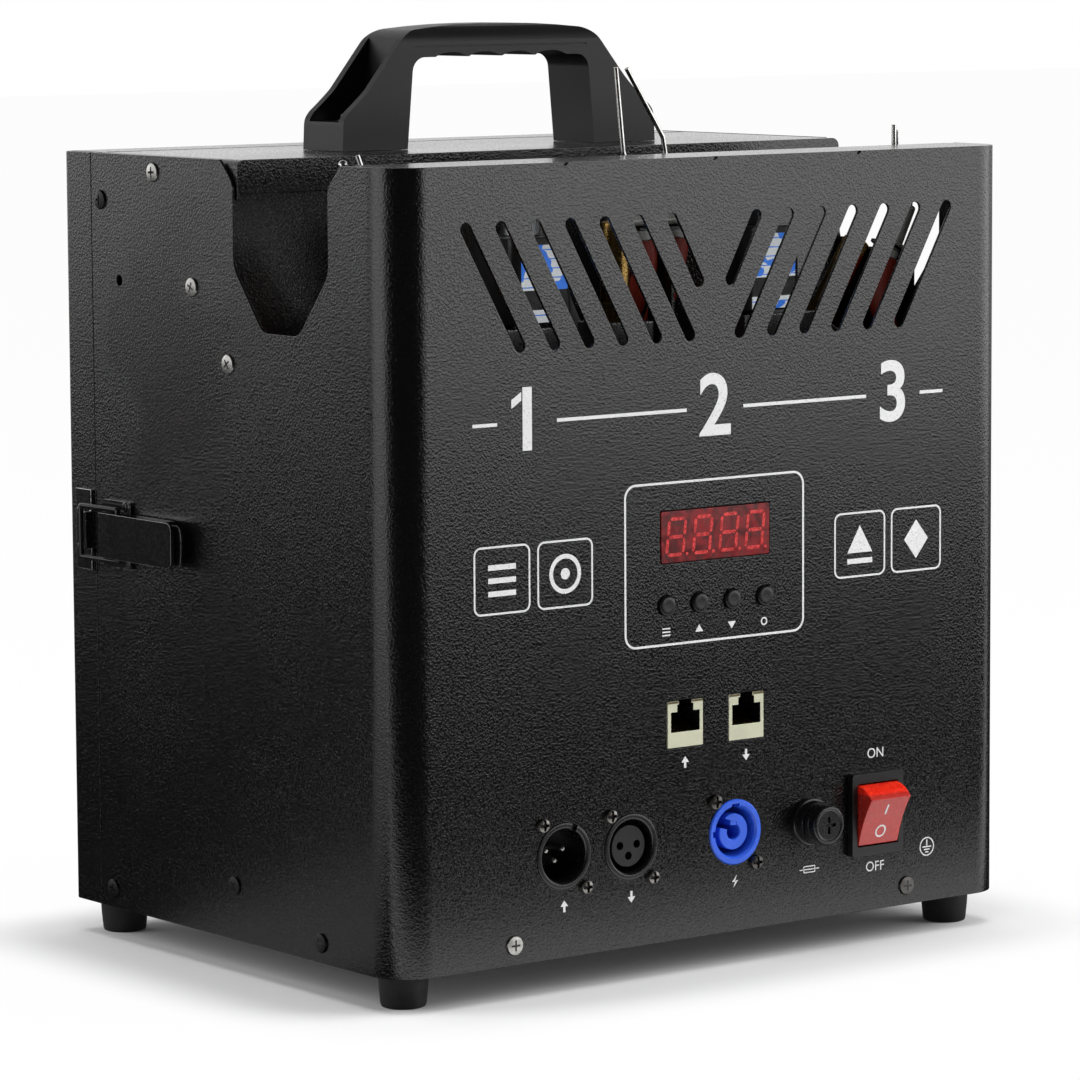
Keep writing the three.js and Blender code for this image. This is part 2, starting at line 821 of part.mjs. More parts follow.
// Places of the rivets on the shell: the latch base on the left side, the hinge leaves on the right
function hingeRivetPlaces(side) {
  if (side < 0) {
    return [1, -1].map((end) => [latchBaseFront + latchRivetInset,
      latchCentreHeight + end * latchRivetSpread / 2]);
  }
  const places = [];
  for (const centreHeight of hingeHeights) {
    for (const row of [-1, 1]) {
      const height = centreHeight + row * (hingeHeight / 2 - hingeRivetInset);
      places.push([hingeAxisY - hingeLeafWidth + hingeRivetInset, height]);
    }
  }
  return places;
}

function doorRivetPlaces(side) {
  if (side < 0) {
    return [1, -1].map((end) => [catchRear - catchRivetInset,
      latchCentreHeight + end * catchRivetSpread / 2]);
  }
  const depth = hingeAxisY + hingeLeafWidth - hingeRivetInset;
  return hingeRivetPlaces(side).map(([, height]) => [depth, height]);
}

// The profile of a low conical head.
function headProfile(radius, height) {
  return [[0, 0], [radius, 0], [radius * headShare, height], [0, height]];
}

// A rivet through a plate on the side of the shell.
function rivet(side, depth, height) {
  const profile = headProfile(rivetHeadRadius, rivetHeadHeight);
  const outwards = side > 0 ? axisX : left;
  const face = point(side * (half + contact + hingeLeafSheet), depth, at(height));
  return join([
    turned(profile, face, outwards, smallSides),
    bar(face.clone().addScaledVector(outwards, -rivetLength), outwards, rivetShankRadius,
      rivetLength + contact, hexSides),
  ]);
}

// Outline of a plate that fills the shell from the front panel back to a depth
function bayOutline(rear) {
  const front = sheet + fit;
  const rim = frontCornerRadius - sheet - fit;
  const straight = innerHalf - rim;
  const shape = new THREE.Shape();
  shape.moveTo(-innerHalf, rear);
  shape.lineTo(-innerHalf, front + rim);
  shape.absarc(-straight, front + rim, rim, Math.PI, 1.5 * Math.PI, false);
  shape.absarc(straight, front + rim, rim, 1.5 * Math.PI, 2 * Math.PI, false);
  shape.lineTo(innerHalf, rear);
  return shape;
}

// Strips along the front and side edges of such a plate.
function bayFlanges(rear, z0, z1) {
  const front = sheet + fit;
  const rim = frontCornerRadius - sheet - fit;
  const straight = innerHalf - rim;
  return [
    block(-straight, straight, front, front + sheet, z0, z1),
    block(-innerHalf, -innerHalf + sheet, front + rim, rear, z0, z1),
    block(innerHalf - sheet, innerHalf, front + rim, rear, z0, z1),
  ];
}

// Base tray: floor with upturned front and side flanges, running on under the door
function baseTray() {
  const floor = bayOutline(shellRear - sheet);
  floor.lineTo(lidFlatHalf, shellRear - sheet);
  floor.lineTo(lidFlatHalf, cabinetDepth - sheet - fit);
  floor.lineTo(-lidFlatHalf, cabinetDepth - sheet - fit);
  floor.lineTo(-lidFlatHalf, shellRear - sheet);
  floor.closePath();
  const walls = bayFlanges(shellRear - sheet - fit, bottom, bottom + trayFlange);
  const screws = sides.flatMap((side) => [
    sideScrew(side, trayFrontScrewDepth, trayScrewHeight),
    sideScrew(side, trayRearScrewDepth, trayScrewHeight),
    panelScrew(point(side * trayFrontScrewX, -contact, at(trayScrewHeight)), forward),
  ]);
  const bolts = Object.values(footPlaces).map(footBolt);
  return join([upright(floor, bottom, bottom + sheet), ...walls, ...screws, ...bolts]);
}

// A spare hole in a flange that lies inside the shell.
function flangeHole(side, depth, height) {
  const start = point(side * (innerHalf + fit), depth, at(height));
  return bar(start, side > 0 ? left : axisX, screwHoleRadius, sheet + 2 * fit + overrun, smallSides);
}

const footX = half - footInsetSide;
const footPlaces = {
  foot_front_left: [-footX, footInsetFront],
  foot_front_right: [footX, footInsetFront],
  foot_rear_left: [-footX, cabinetDepth - footInsetRear],
  foot_rear_right: [footX, cabinetDepth - footInsetRear],
};

function rubberFoot([x, y]) {
  const profile = [
    [footRecessRadius, 0],
    [footBottomRadius - footEdge, 0],
    [footBottomRadius, footEdge],
    [footTopRadius, footHeight - contact],
    [screwHoleRadius, footHeight - contact],
    [screwHoleRadius, footRecessDepth],
    [footRecessRadius, footRecessDepth],
    [footRecessRadius, 0],
  ];
  return turned(profile, point(x, y, 0), axisZ, midSides);
}

// The bolt of a foot, its head up in the foot's recess and its nut on the tray.
function footBolt([x, y]) {
  const headTop = footRecessDepth - contact;
  const shank = bottom - headTop + footNutHeight + footBoltSpare;
  return join([
    turned(headProfile(screwHeadRadius, footHeadHeight), point(x, y, headTop), down, smallSides),
    bar(point(x, y, headTop - contact), axisZ, screwShankRadius, shank, smallSides),
    bar(point(x, y, bottom + sheet / 2), axisZ, screwHeadRadius, footNutHeight, hexSides),
  ]);
}

// Partition between the burner and electronics bay and the gas bay
function partitionWall() {
  const z0 = bottom + sheet + fit;
  const z1 = top - lidBendRadius - fit;
  const lowHalf = innerHalf - sheet - fit;
  const rear = partitionFace + sheet;
  const flangeBase = bottom + trayFlange + fit;
  const plate = join([
    block(-innerHalf, innerHalf, partitionFace, rear, flangeBase, top - lidFlange - fit),
    block(-lowHalf, lowHalf, partitionFace, rear, z0, z1),
  ]);
  const flanges = sides.map((side) => {
    const outer = side * innerHalf;
    const inside = side * (innerHalf - sheet);
    return block(Math.min(outer, inside), Math.max(outer, inside), partitionFace,
      partitionFace + partitionFlange, flangeBase, top - lidFlange - fit);
  });
  const screws = sides.flatMap((side) => [partitionScrewHeight, partitionLowScrewHeight]
    .map((height) => sideScrew(side, partitionScrewDepth, height)));
  const holes = hosePassXs.map((x) => bar(point(x, partitionFace - overrun, at(hosePassHeight)), axisY,
    hoseHoleRadius, sheet + 2 * overrun, smallSides));
  return cut(join([plate, ...flanges, ...screws]), holes);
}

// Lid: top plate with rolled side edges and a front lip
function topLid() {
  const outer = innerHalf;
  const r = lidBendRadius;
  const low = top - lidFlange;
  const section = new THREE.Shape();
  section.moveTo(-outer, low);
  section.lineTo(-outer + sheet, low);
  section.lineTo(-outer + sheet, top - r);
  section.absarc(-outer + r, top - r, r - sheet, Math.PI, Math.PI / 2, true);
  section.absarc(outer - r, top - r, r - sheet, Math.PI / 2, 0, true);
  section.lineTo(outer - sheet, low);
  section.lineTo(outer, low);
  section.lineTo(outer, top - r);
  section.absarc(outer - r, top - r, r, 0, Math.PI / 2, false);
  section.absarc(-outer + r, top - r, r, Math.PI / 2, Math.PI, false);
  section.closePath();
  const front = troughRear - sheet;
  const flangeRear = shellRear - sheet - fit;
  const ears = [[-outer, -outer + sheet], [outer - sheet, outer]].map(([x0, x1]) =>
    block(x0, x1, flangeRear - lidEarLength, flangeRear, low - lidEarDrop, low + sheet));
  const body = join([
    alongDepth(section, front, flangeRear, slotSteps),
    block(-lidFlatHalf, lidFlatHalf, flangeRear - lap, cabinetDepth - sheet - fit, top - sheet, top),
    block(-lidFlatHalf, lidFlatHalf, front, troughRear, top - lidFrontLip, top - sheet / 2),
    ...ears,
  ]);
  const screws = sides.flatMap((side) => [
    sideScrew(side, lidScrewDepth, lidScrewHeight),
    sideScrew(side, rearScrewDepth, rearScrewHeight),
    handleStud(side),
  ]);
  return join([body, ...screws]);
}

// A screw through a side of the shell into the flange behind it.
function sideScrew(side, depth, height) {
  return panelScrew(point(side * (half + contact), depth, at(height)), side > 0 ? axisX : left);
}

function panelScrew(place, outwards) {
  return join([
    turned(headProfile(screwHeadRadius, screwHeadHeight), place, outwards, smallSides),
    bar(place.clone().addScaledVector(outwards, -screwLength), outwards, screwShankRadius,
      screwLength + contact, hexSides),
  ]);
}

// The stud of the lid that holds one leg of the handle, with its nut.
function handleStud(side) {
  const x = side * handleBoltX;
  const nutBase = top + 2 * contact + handleChannelFloor;
  const nut = headProfile(handleBoltHeadRadius, handleBoltHeadHeight);
  return join([
    turned(nut, point(x, handleCentre, nutBase), axisZ, midSides),
    bar(point(x, handleCentre, top - sheet), axisZ, handleBoltRadius,
      nutBase - top + sheet + contact, smallSides),
  ]);
}

// Carry handle: a moulded grip whose hollow legs are bolted down inside their outer ends
function handleOutline() {
  const shape = new THREE.Shape();
  const base = top + contact;
  shape.moveTo(handleHalfLength, base);
  const legX = (handleKneeX + handleElbowX) / 2 - handleLegHollow;
  const legHeight = base + (handleKneeHeight + handleElbowHeight) / 2 - handleLegHollow;
  shape.lineTo(handleKneeX + handleAnkleFlare, base + handleChannelFloor);
  shape.lineTo(handleKneeX, base + handleKneeHeight);
  shape.quadraticCurveTo(legX, legHeight, handleElbowX, base + handleElbowHeight);
  shape.quadraticCurveTo(handleShoulderX + handleWall, base + handleShoulderHeight,
    handleShoulderX, base + handleShoulderHeight);
  shape.quadraticCurveTo(0, base + 2 * handleHeight - handleShoulderHeight,
    -handleShoulderX, base + handleShoulderHeight);
  shape.quadraticCurveTo(-handleShoulderX - handleWall, base + handleShoulderHeight,
    -handleElbowX, base + handleElbowHeight);
  shape.quadraticCurveTo(-legX, legHeight, -handleKneeX, base + handleKneeHeight);
  shape.lineTo(-handleKneeX - handleAnkleFlare, base + handleChannelFloor);
  shape.lineTo(-handleHalfLength, base);
  shape.lineTo(-gripFootX, base);
  shape.lineTo(-gripHeadX, base + gripHeadHeight);
  const scallopStart = -gripScallopSpan * gripScallopCount / 2;
  const scallopEdge = base + gripUnderside - gripScallop;
  shape.quadraticCurveTo(-gripHeadX, base + gripUnderside, scallopStart, scallopEdge);
  for (let index = 0; index < gripScallopCount; index += 1) {
    const x = scallopStart + index * gripScallopSpan;
    shape.quadraticCurveTo(x + gripScallopSpan / 2, base + gripUnderside + gripScallop,
      x + gripScallopSpan, scallopEdge);
  }
  shape.quadraticCurveTo(gripHeadX, base + gripUnderside, gripHeadX, base + gripHeadHeight);
  shape.lineTo(gripFootX, base);
  shape.closePath();
  return shape;
}

function carryHandle() {
  const base = top + contact;
  const front = handleCentre - handleThickness / 2;
  const rear = handleCentre + handleThickness / 2;
  const profile = alongDepth(handleOutline(), front, rear);
  const rounded = outline([
    [front, base - overrun],
    [rear, base - overrun],
    [rear, base + handleHeight, gripRound],
    [front, base + handleHeight, gripRound],
  ]);
  const crown = alongWidth(rounded, -handleHalfLength - overrun, handleHalfLength + overrun, bendSteps);
  const channels = sides.map((side) => {
    const inner = side * (gripFootX + handleInnerWall);
    const outer = side * (handleHalfLength + overrun);
    return block(Math.min(inner, outer), Math.max(inner, outer), front + handleWall, rear - handleWall,
      base + handleChannelFloor, base + handleChannelCeiling);
  });
  const bores = sides.map((side) => bar(point(side * handleBoltX, handleCentre, base - overrun), axisZ,
    handleBoltRadius + fit, handleChannelFloor + 2 * overrun, smallSides));
  return cut(profile.intersect(crown), [...channels, ...bores]);
}

add(cabinet, 'front_shell', powderCoat(), frontShell());
add(cabinet, 'base_tray', powderCoat(), baseTray());
add(cabinet, 'partition_wall', powderCoat(), partitionWall());
add(cabinet, 'top_lid', powderCoat(), topLid());
add(cabinet, 'carry_handle', blackPlastic(), carryHandle());
Object.entries(footPlaces).forEach(([name, place]) => add(cabinet, name, blackRubber(), rubberFoot(place)));

// Rear door: a shallow pan whose side flanges meet the shell at the seam
function doorOutline() {
  const r = doorCornerRadius;
  const inner = r - sheet;
  const shape = new THREE.Shape();
  shape.moveTo(-half, doorFront);
  shape.lineTo(-half + sheet, doorFront);
  shape.lineTo(-half + sheet, cabinetDepth - r);
  shape.absarc(-half + r, cabinetDepth - r, inner, Math.PI, Math.PI / 2, true);
  shape.absarc(half - r, cabinetDepth - r, inner, Math.PI / 2, 0, true);
  shape.lineTo(half - sheet, doorFront);
  shape.lineTo(half, doorFront);
  shape.lineTo(half, cabinetDepth - r);
  shape.absarc(half - r, cabinetDepth - r, r, 0, Math.PI / 2, false);
  shape.absarc(-half + r, cabinetDepth - r, r, Math.PI / 2, Math.PI, false);
  shape.closePath();
  return shape;
}

function doorPan() {
  const holes = sides.flatMap((side) => doorRivetPlaces(side).map(([depth, height]) =>
    sideHole(side, depth, height, rivetHoleRadius)));
  return cut(upright(doorOutline(), bottom, top), holes);
}

// Hinge leaf: a plate with its share of the knuckles, for one body of the pair.
function hingeLeaf(centreHeight, towards) {
  const z0 = at(centreHeight) - hingeHeight / 2;
  const pitch = hingeHeight / hingeKnuckles;
  const own = towards < 0 ? 0 : 1;
  const gapY = hingeKnuckleRadius + fit;
  const far = hingeAxisY + towards * hingeLeafWidth;
  const near = hingeAxisY + towards * gapY;
  const x0 = half + contact;
  const x1 = x0 + hingeLeafSheet;
  const pieces = [block(x0, x1, Math.min(far, near), Math.max(far, near), z0, z0 + hingeHeight)];
  for (let index = own; index < hingeKnuckles; index += 2) {
    const low = z0 + index * pitch + (index > 0 ? hingeKnuckleGap / 2 : 0);
    const high = z0 + (index + 1) * pitch - (index < hingeKnuckles - 1 ? hingeKnuckleGap / 2 : 0);
    pieces.push(bar(point(hingeAxisX, hingeAxisY, low), axisZ, hingeKnuckleRadius, high - low));
    pieces.push(block(x0, x1, Math.min(hingeAxisY, near), Math.max(hingeAxisY, near), low, high));
  }
  const bore = bar(point(hingeAxisX, hingeAxisY, z0 - overrun), axisZ, hingePinRadius + fit,
    hingeHeight + 2 * overrun, smallSides);
  const places = towards < 0 ? hingeRivetPlaces(1) : doorRivetPlaces(1);
  const rivets = places.filter(([, height]) => Math.abs(height - centreHeight) < hingeHeight)
    .map(([depth, height]) => rivet(1, depth, height));
  return join([cut(join(pieces), [bore]), ...rivets]);
}

function hingePin(centreHeight) {
  const z0 = at(centreHeight) - hingeHeight / 2;
  const z1 = z0 + hingeHeight;
  const cap = hingePinHeadHeight;
  return turned([
    [0, z0 - contact - cap],
    [hingePinHeadRadius, z0 - contact - cap],
    [hingePinHeadRadius, z0 - contact],
    [hingePinRadius, z0 - contact],
    [hingePinRadius, z1 + contact],
    [hingePinHeadRadius, z1 + contact],
    [hingePinHeadRadius, z1 + contact + cap],
    [0, z1 + contact + cap],
  ], point(hingeAxisX, hingeAxisY, 0), axisZ, smallSides);
}

add(rearDoor, 'rear_door', powderCoat(), doorPan());
['lower', 'upper'].forEach((name, index) => {
  add(cabinet, `hinge_cabinet_leaf_${name}`, blackSteel(), hingeLeaf(hingeHeights[index], -1));
  add(cabinet, `hinge_pin_${name}`, zincPlate(), hingePin(hingeHeights[index]));
  add(rearDoor, `hinge_door_leaf_${name}`, blackSteel(), hingeLeaf(hingeHeights[index], 1));
});

// Draw latch: base with ears and pin, lever, wire bail, and the catch plate on the door
const latchZ = at(latchCentreHeight);

function latchBase() {
  const x1 = -half - contact;
  const x0 = x1 - leverSheet;
  const tall = latchBaseHeight / 2;
  const plate = alongWidth(outline([
    [latchBaseFront, latchZ - tall],
    [latchBaseRear - latchBaseTaper, latchZ - tall],
    [latchBaseRear, latchZ - tall + latchBaseTaper],
    [latchBaseRear, latchZ + tall - latchBaseTaper],
    [latchBaseRear - latchBaseTaper, latchZ + tall],
    [latchBaseFront, latchZ + tall],
  ]), x0, x1);
  const ear = new THREE.Shape();
  const pinX = -half - latchPivotReach;
  ear.moveTo(x0 + contact, latchPivotDepth - latchEarRadius);
  ear.lineTo(x0 + contact, latchPivotDepth + latchEarRadius);
  ear.lineTo(pinX, latchPivotDepth + latchEarRadius);
  ear.absarc(pinX, latchPivotDepth, latchEarRadius, Math.PI / 2, 1.5 * Math.PI, false);
  ear.closePath();
  const ears = sides.map((side) => {
    const inner = latchZ + side * latchEarOffset;
    const outer = latchZ + side * (latchEarOffset + leverSheet);
    return upright(ear, Math.min(inner, outer), Math.max(inner, outer), wireSides);
  });
  const pinHalf = leverHeight / 2 + contact;
  const pin = bar(point(-half - latchPivotReach, latchPivotDepth, latchZ - pinHalf), axisZ, latchPinRadius,
    2 * pinHalf, smallSides);
  const rivets = hingeRivetPlaces(-1).map(([depth, height]) => rivet(-1, depth, height));
  return join([plate, ...ears, pin, ...rivets]);
}

function latchLever() {
  const outer = -half - leverReach;
  const pinX = -half - latchPivotReach;
  const flangeEnd = pinX + leverNoseRadius;
  const web = block(outer, outer + leverSheet, leverFront, leverWebEnd,
    latchZ - leverHeight / 2, latchZ + leverHeight / 2);
  const wall = new THREE.Shape();
  wall.moveTo(outer, leverFront);
  wall.lineTo(flangeEnd, leverFront);
  wall.lineTo(flangeEnd, latchPivotDepth);
  wall.absarc(pinX, latchPivotDepth, leverNoseRadius, 0, Math.PI / 2, false);
  wall.lineTo(outer, leverWebEnd);
  wall.closePath();
  const flanges = sides.map((side) => {
    const z0 = latchZ + side * leverHeight / 2;
    const z1 = latchZ + side * (leverHeight / 2 - leverSheet);
    return upright(wall, Math.min(z0, z1), Math.max(z0, z1));
  });
  const bores = [
    [latchPivotDepth, latchPinRadius],
    [bailPivotDepth, bailWireRadius],
  ].map(([depth, radius]) => bar(point(pinX, depth, latchZ - leverHeight), axisZ, radius + fit,
    2 * leverHeight, smallSides));
  return cut(join([web, ...flanges, leverTongue(outer)]), bores);
}

// The lever's finger tongue, which curls outwards.
function leverTongue(outer) {
  const far = leverFront - tongueLength;
  const shape = outline([
    [outer, leverFront + leverSheet],
    [outer + leverSheet, leverFront + leverSheet],
    [outer + leverSheet - tongueRise, far],
    [outer - tongueRise, far],
  ]);
  return upright(shape, latchZ - tongueHeight / 2, latchZ + tongueHeight / 2);
}

function latchBail() {
  const x = -half - latchPivotReach;
  const crossX = -half - contact - catchSheet - catchLipReach - bailClearance - bailWireRadius;
  const crossY = catchFront + catchSheet / 2;
  const arm = leverHeight / 2 + fit + bailWireRadius;
  const stub = leverHeight / 2 - leverSheet - fit;
  return bentWire([
    point(x, bailPivotDepth, latchZ - stub),
    point(x, bailPivotDepth, latchZ - arm),
    point(crossX, crossY, latchZ - arm),
    point(crossX, crossY, latchZ + arm),
    point(x, bailPivotDepth, latchZ + arm),
    point(x, bailPivotDepth, latchZ + stub),
  ], bailWireRadius);
}

function catchPlate() {
  const x1 = -half - contact;
  const x0 = x1 - catchSheet;
  const plate = block(x0, x1, catchFront, catchRear, latchZ - catchHeight / 2, latchZ + catchHeight / 2);
  const lip = block(x0 - catchLipReach, x1, catchFront, catchFront + catchSheet,
    latchZ - catchLipHeight / 2, latchZ + catchLipHeight / 2);
  const rivets = doorRivetPlaces(-1).map(([depth, height]) => rivet(-1, depth, height));
  return join([plate, lip, ...rivets]);
}

add(cabinet, 'latch_base', blackSteel(), latchBase());
add(cabinet, 'latch_lever', blackSteel(), latchLever());
add(cabinet, 'latch_bail', blackSteel(), latchBail());
add(rearDoor, 'catch_plate', blackSteel(), catchPlate());

// Display, buttons and their board
function displayModule() {
  const z = at(displayRowHeight);
  return block(-displayWidth / 2 + fit, displayWidth / 2 - fit, -displayProud, displayDepth,
    z - displayHeight / 2 + fit, z + displayHeight / 2 - fit);
}

function controlBoard() {
  const z = at(controlBoardRowHeight);
  const y0 = controlBoardDepth;
  const middle = y0 + boardThickness / 2;
  const board = block(-controlBoardWidth / 2, controlBoardWidth / 2, y0, y0 + boardThickness,
    z - controlBoardHeight / 2, z + controlBoardHeight / 2);
  const pieces = [board];
  sides.forEach((side) => sides.forEach((end) => {
    const place = point(side * (controlBoardWidth / 2 - standoffInset), sheet + contact,
      z + end * (controlBoardHeight / 2 - standoffInset));
    pieces.push(bar(place, axisY, standoffRadius, middle - sheet - contact, smallSides));
  }));
  const keys = at(buttonRowHeight);
  for (let index = 0; index < buttonCount; index += 1) {
    const x = buttonX(index);
    pieces.push(block(x - keySwitchSide / 2, x + keySwitchSide / 2, y0 - keySwitchDepth, middle,
      keys - keySwitchSide / 2, keys + keySwitchSide / 2));
  }
  const riser = block(-displayWidth / 2 + fit, displayWidth / 2 - fit, displayDepth + contact, middle,
    at(displayRowHeight) - displayHeight / 2 + fit, at(displayRowHeight) + displayHeight / 2 - fit);
  return join([...pieces, riser]);
}

function pushButton(index) {
  const place = point(buttonX(index), 0, at(buttonRowHeight));
  const flangeFront = sheet + contact;
  const flangeRear = flangeFront + buttonFlangeThickness;
  const profile = [
    [0, -flangeFront - buttonStemLength],
    [buttonRadius / 2, -flangeFront - buttonStemLength],
    [buttonRadius / 2, -flangeRear],
    [buttonFlangeRadius, -flangeRear],
    [buttonFlangeRadius, -flangeFront],
    [buttonRadius, -flangeFront],
    [buttonRadius, buttonProud - contact],
    [buttonRadius * buttonCrownShare, buttonProud],
    [0, buttonProud],
  ];
  return turned(profile, place, forward, midSides);
}

add(frontPanel, 'display_module', redWindow(), displayModule());
add(frontPanel, 'control_board', boardGreen(), controlBoard());
['button_menu', 'button_up', 'button_down', 'button_enter'].forEach((name, index) => {
  add(frontPanel, name, blackPlastic(), pushButton(index));
});

// Network jacks: a stepped opening for the plug's clip above a plain lower strip
function networkJack(side) {
  const x = jackX(side);
  const z = at(jackRowHeight);
  const body = block(x - jackWidth / 2, x + jackWidth / 2, contact, jackDepth,
    z - jackHeight / 2, z + jackHeight / 2);
  const base = z - jackHeight / 2;
  const roof = z + jackHeight / 2 + overrun;
  const inner = jackMainWidth / 2;
  const middle = jackStepWidth / 2;
  const narrow = jackClipWidth / 2;
  const opening = outline([
    [x - inner, base + jackMainBottom], [x + inner, base + jackMainBottom],
    [x + inner, base + jackMainTop], [x + middle, base + jackMainTop],
    [x + middle, base + jackStepTop], [x + narrow, base + jackStepTop],
    [x + narrow, roof], [x - narrow, roof],
    [x - narrow, base + jackStepTop], [x - middle, base + jackStepTop],
    [x - middle, base + jackMainTop], [x - inner, base + jackMainTop],
  ]);
  return cut(body, [alongDepth(opening, -overrun, jackCavityDepth)]);
}

function dataBoard() {
  const y0 = jackDepth + contact;
  return block(dataBoardLeft, dataBoardRight, y0, y0 + boardThickness,
    at(dataBoardBottom), at(dataBoardTop));
}

// Round sockets on a square flange behind the panel
function socketShell(x) {
  const z = at(socketRowHeight);
  const flangeFront = sheet + contact;
  const flange = alongDepth(rectangle(x - socketFlangeWidth / 2, x + socketFlangeWidth / 2,
    z - socketFlangeHeight / 2, z + socketFlangeHeight / 2, socketFlangeCorner),
  flangeFront, flangeFront + socketFlangeThickness, slotSteps);
  const screws = socketScrewPlaces
    .filter(([screwX]) => Math.abs(screwX - x) < socketFlangeWidth / 2)
    .map(socketScrew);
  return join([
    flange,
    bar(point(x, 0, z), axisY, socketFrontRadius, flangeFront + socketFlangeThickness / 2),
    bar(point(x, 0, z), axisY, socketBodyRadius, socketBodyDepth),
    ...screws,
  ]);
}

function pinPlaces(x) {
  const z = at(socketRowHeight);
  return [90, 210, 330].map((degrees) => {
    const angle = THREE.MathUtils.degToRad(degrees);
    return [x + dataPinCircle * Math.cos(angle), z - dataPinCircle * Math.sin(angle)];
  });
}

function dataInlet() {
  const x = dataInletX;
  const z = at(socketRowHeight);
  const cavity = bar(point(x, -overrun, z), axisY, socketCavityRadius, dataCavityDepth + overrun);
  const pins = pinPlaces(x).map(([px, pz]) => turned([
    [0, -overrun], [dataPinRadius, -overrun], [dataPinRadius, dataPinLength - dataPinRadius],
    [dataPinRadius / 2, dataPinLength], [0, dataPinLength],
  ], point(px, dataCavityDepth, pz), forward, smallSides));
  return join([cut(socketShell(x), [cavity]), ...pins]);
}

function dataOutlet() {
  const x = dataOutletX;
  const z = at(socketRowHeight);
  const ring = cut(bar(point(x, -overrun, z), axisY, socketCavityRadius, dataCavityDepth + overrun),
    [bar(point(x, dataInsertRecess, z), axisY, dataInsertRadius, dataCavityDepth + overrun)]);
  const holes = pinPlaces(x).map(([px, pz]) =>
    bar(point(px, -overrun, 2 * z - pz), axisY, dataHoleRadius, dataHoleDepth + overrun, smallSides));
  return cut(socketShell(x), [ring, ...holes]);
}

function powerInlet() {
  const x = powerInletX;
  const z = at(socketRowHeight);
  const core = cut(bar(point(x, powerCoreRecess, z), axisY, powerCoreRadius, powerCavityDepth + overrun), [
    bar(point(x, 0, z), axisY, powerCoreBoreRadius, powerCavityDepth - powerCoreFloor, smallSides),
    block(x - powerCoreRadius, x, 0, powerCavityDepth - powerCoreFloor, z, z + powerKeyWidth),
  ]);
  const cavity = bar(point(x, -overrun, z), axisY, powerCavityRadius, powerCavityDepth + overrun);
  const ring = cut(cavity, [core]);
  const key = block(x - powerKeyWidth / 2, x + powerKeyWidth / 2, -overrun, powerCavityDepth / 2,
    z + powerCavityRadius - powerKeyInset, z + powerCavityRadius + powerKeyOutset);
  return cut(socketShell(x), [ring, key]);
}

function socketScrew([x, height]) {
  const place = point(x, -contact, at(height));
  const r = socketScrewHeadRadius;
  const h = socketScrewHeadHeight;
  const head = [[0, 0], [r, 0], [r * screwRimShare, h / 2], [r * screwDomeShare, h], [0, h]];
  const root = place.clone().addScaledVector(forward, contact);
  return turned(head, place, forward, smallSides)
    .add(bar(root, axisY, socketScrewShankRadius, socketScrewLength, smallSides));
}

add(frontPanel, 'network_jack_in', creamPlastic(), networkJack(-1));
add(frontPanel, 'network_jack_out', creamPlastic(), networkJack(1));
add(frontPanel, 'data_board', boardGreen(), dataBoard());
add(frontPanel, 'data_inlet', blackPlastic(), dataInlet());
add(frontPanel, 'data_outlet', blackPlastic(), dataOutlet());
add(frontPanel, 'power_inlet', bluePlastic(), powerInlet());

// Fuse holder: collar and threaded body, its nut behind the panel, the cap and the fuse
function fuseHolder() {
  const z = at(socketRowHeight);
  const bore = fuseBoreRadius;
  const body = turned([
    [bore, -fuseBodyLength + sheet],
    [fuseBodyRadius, -fuseBodyLength + sheet],
    [fuseBodyRadius, contact],
    [fuseFlangeRadius, contact],
    [fuseFlangeRadius, fuseFlangeThickness],
    [fuseCollarRadius, fuseFlangeThickness + contact],
    [fuseCollarRadius, fuseCollarReach],
    [bore, fuseCollarReach],
    [bore, -fuseBodyLength + sheet],
  ], point(fuseX, 0, z), forward);
  const floor = point(fuseX, fuseBodyLength - sheet - fuseSlotDepth, z);
  const end = bar(floor, axisY, fuseBodyRadius, fuseSlotDepth);
  const nutFront = sheet + contact;
  const thread = bar(point(fuseX, nutFront - overrun, z), axisY, fuseBodyRadius - contact,
    fuseNutThickness + 2 * overrun);
  const nut = cut(
    bar(point(fuseX, nutFront, z), axisY, fuseNutRadius, fuseNutThickness, hexSides), [thread]);
  return join([body, end, nut]);
}

function fuseCap() {
  const z = at(socketRowHeight);
  const seat = fuseCollarReach + contact;
  const cap = turned([
    [0, seat],
    [fuseCapRadius, seat],
    [fuseCapRadius, fuseCapReach - fuseCapEdge],
    [fuseCapRadius - fuseCapEdge, fuseCapReach],
    [0, fuseCapReach],
  ], point(fuseX, 0, z), forward);
  const front = -fuseCapReach - overrun;
  const back = -fuseCapReach + fuseSlotDepth;
  const long = fuseSlotLength / 2;
  const narrow = fuseSlotWidth / 2;
  return cut(cap, [
    block(fuseX - long, fuseX + long, front, back, z - narrow, z + narrow),
    block(fuseX - narrow, fuseX + narrow, front, back, z - long, z + long),
  ]);
}

function glassFuse() {
  const start = point(fuseX, -fuseCollarReach, at(socketRowHeight));
  return bar(start, axisY, fuseTubeRadius, fuseTubeLength, smallSides);
}

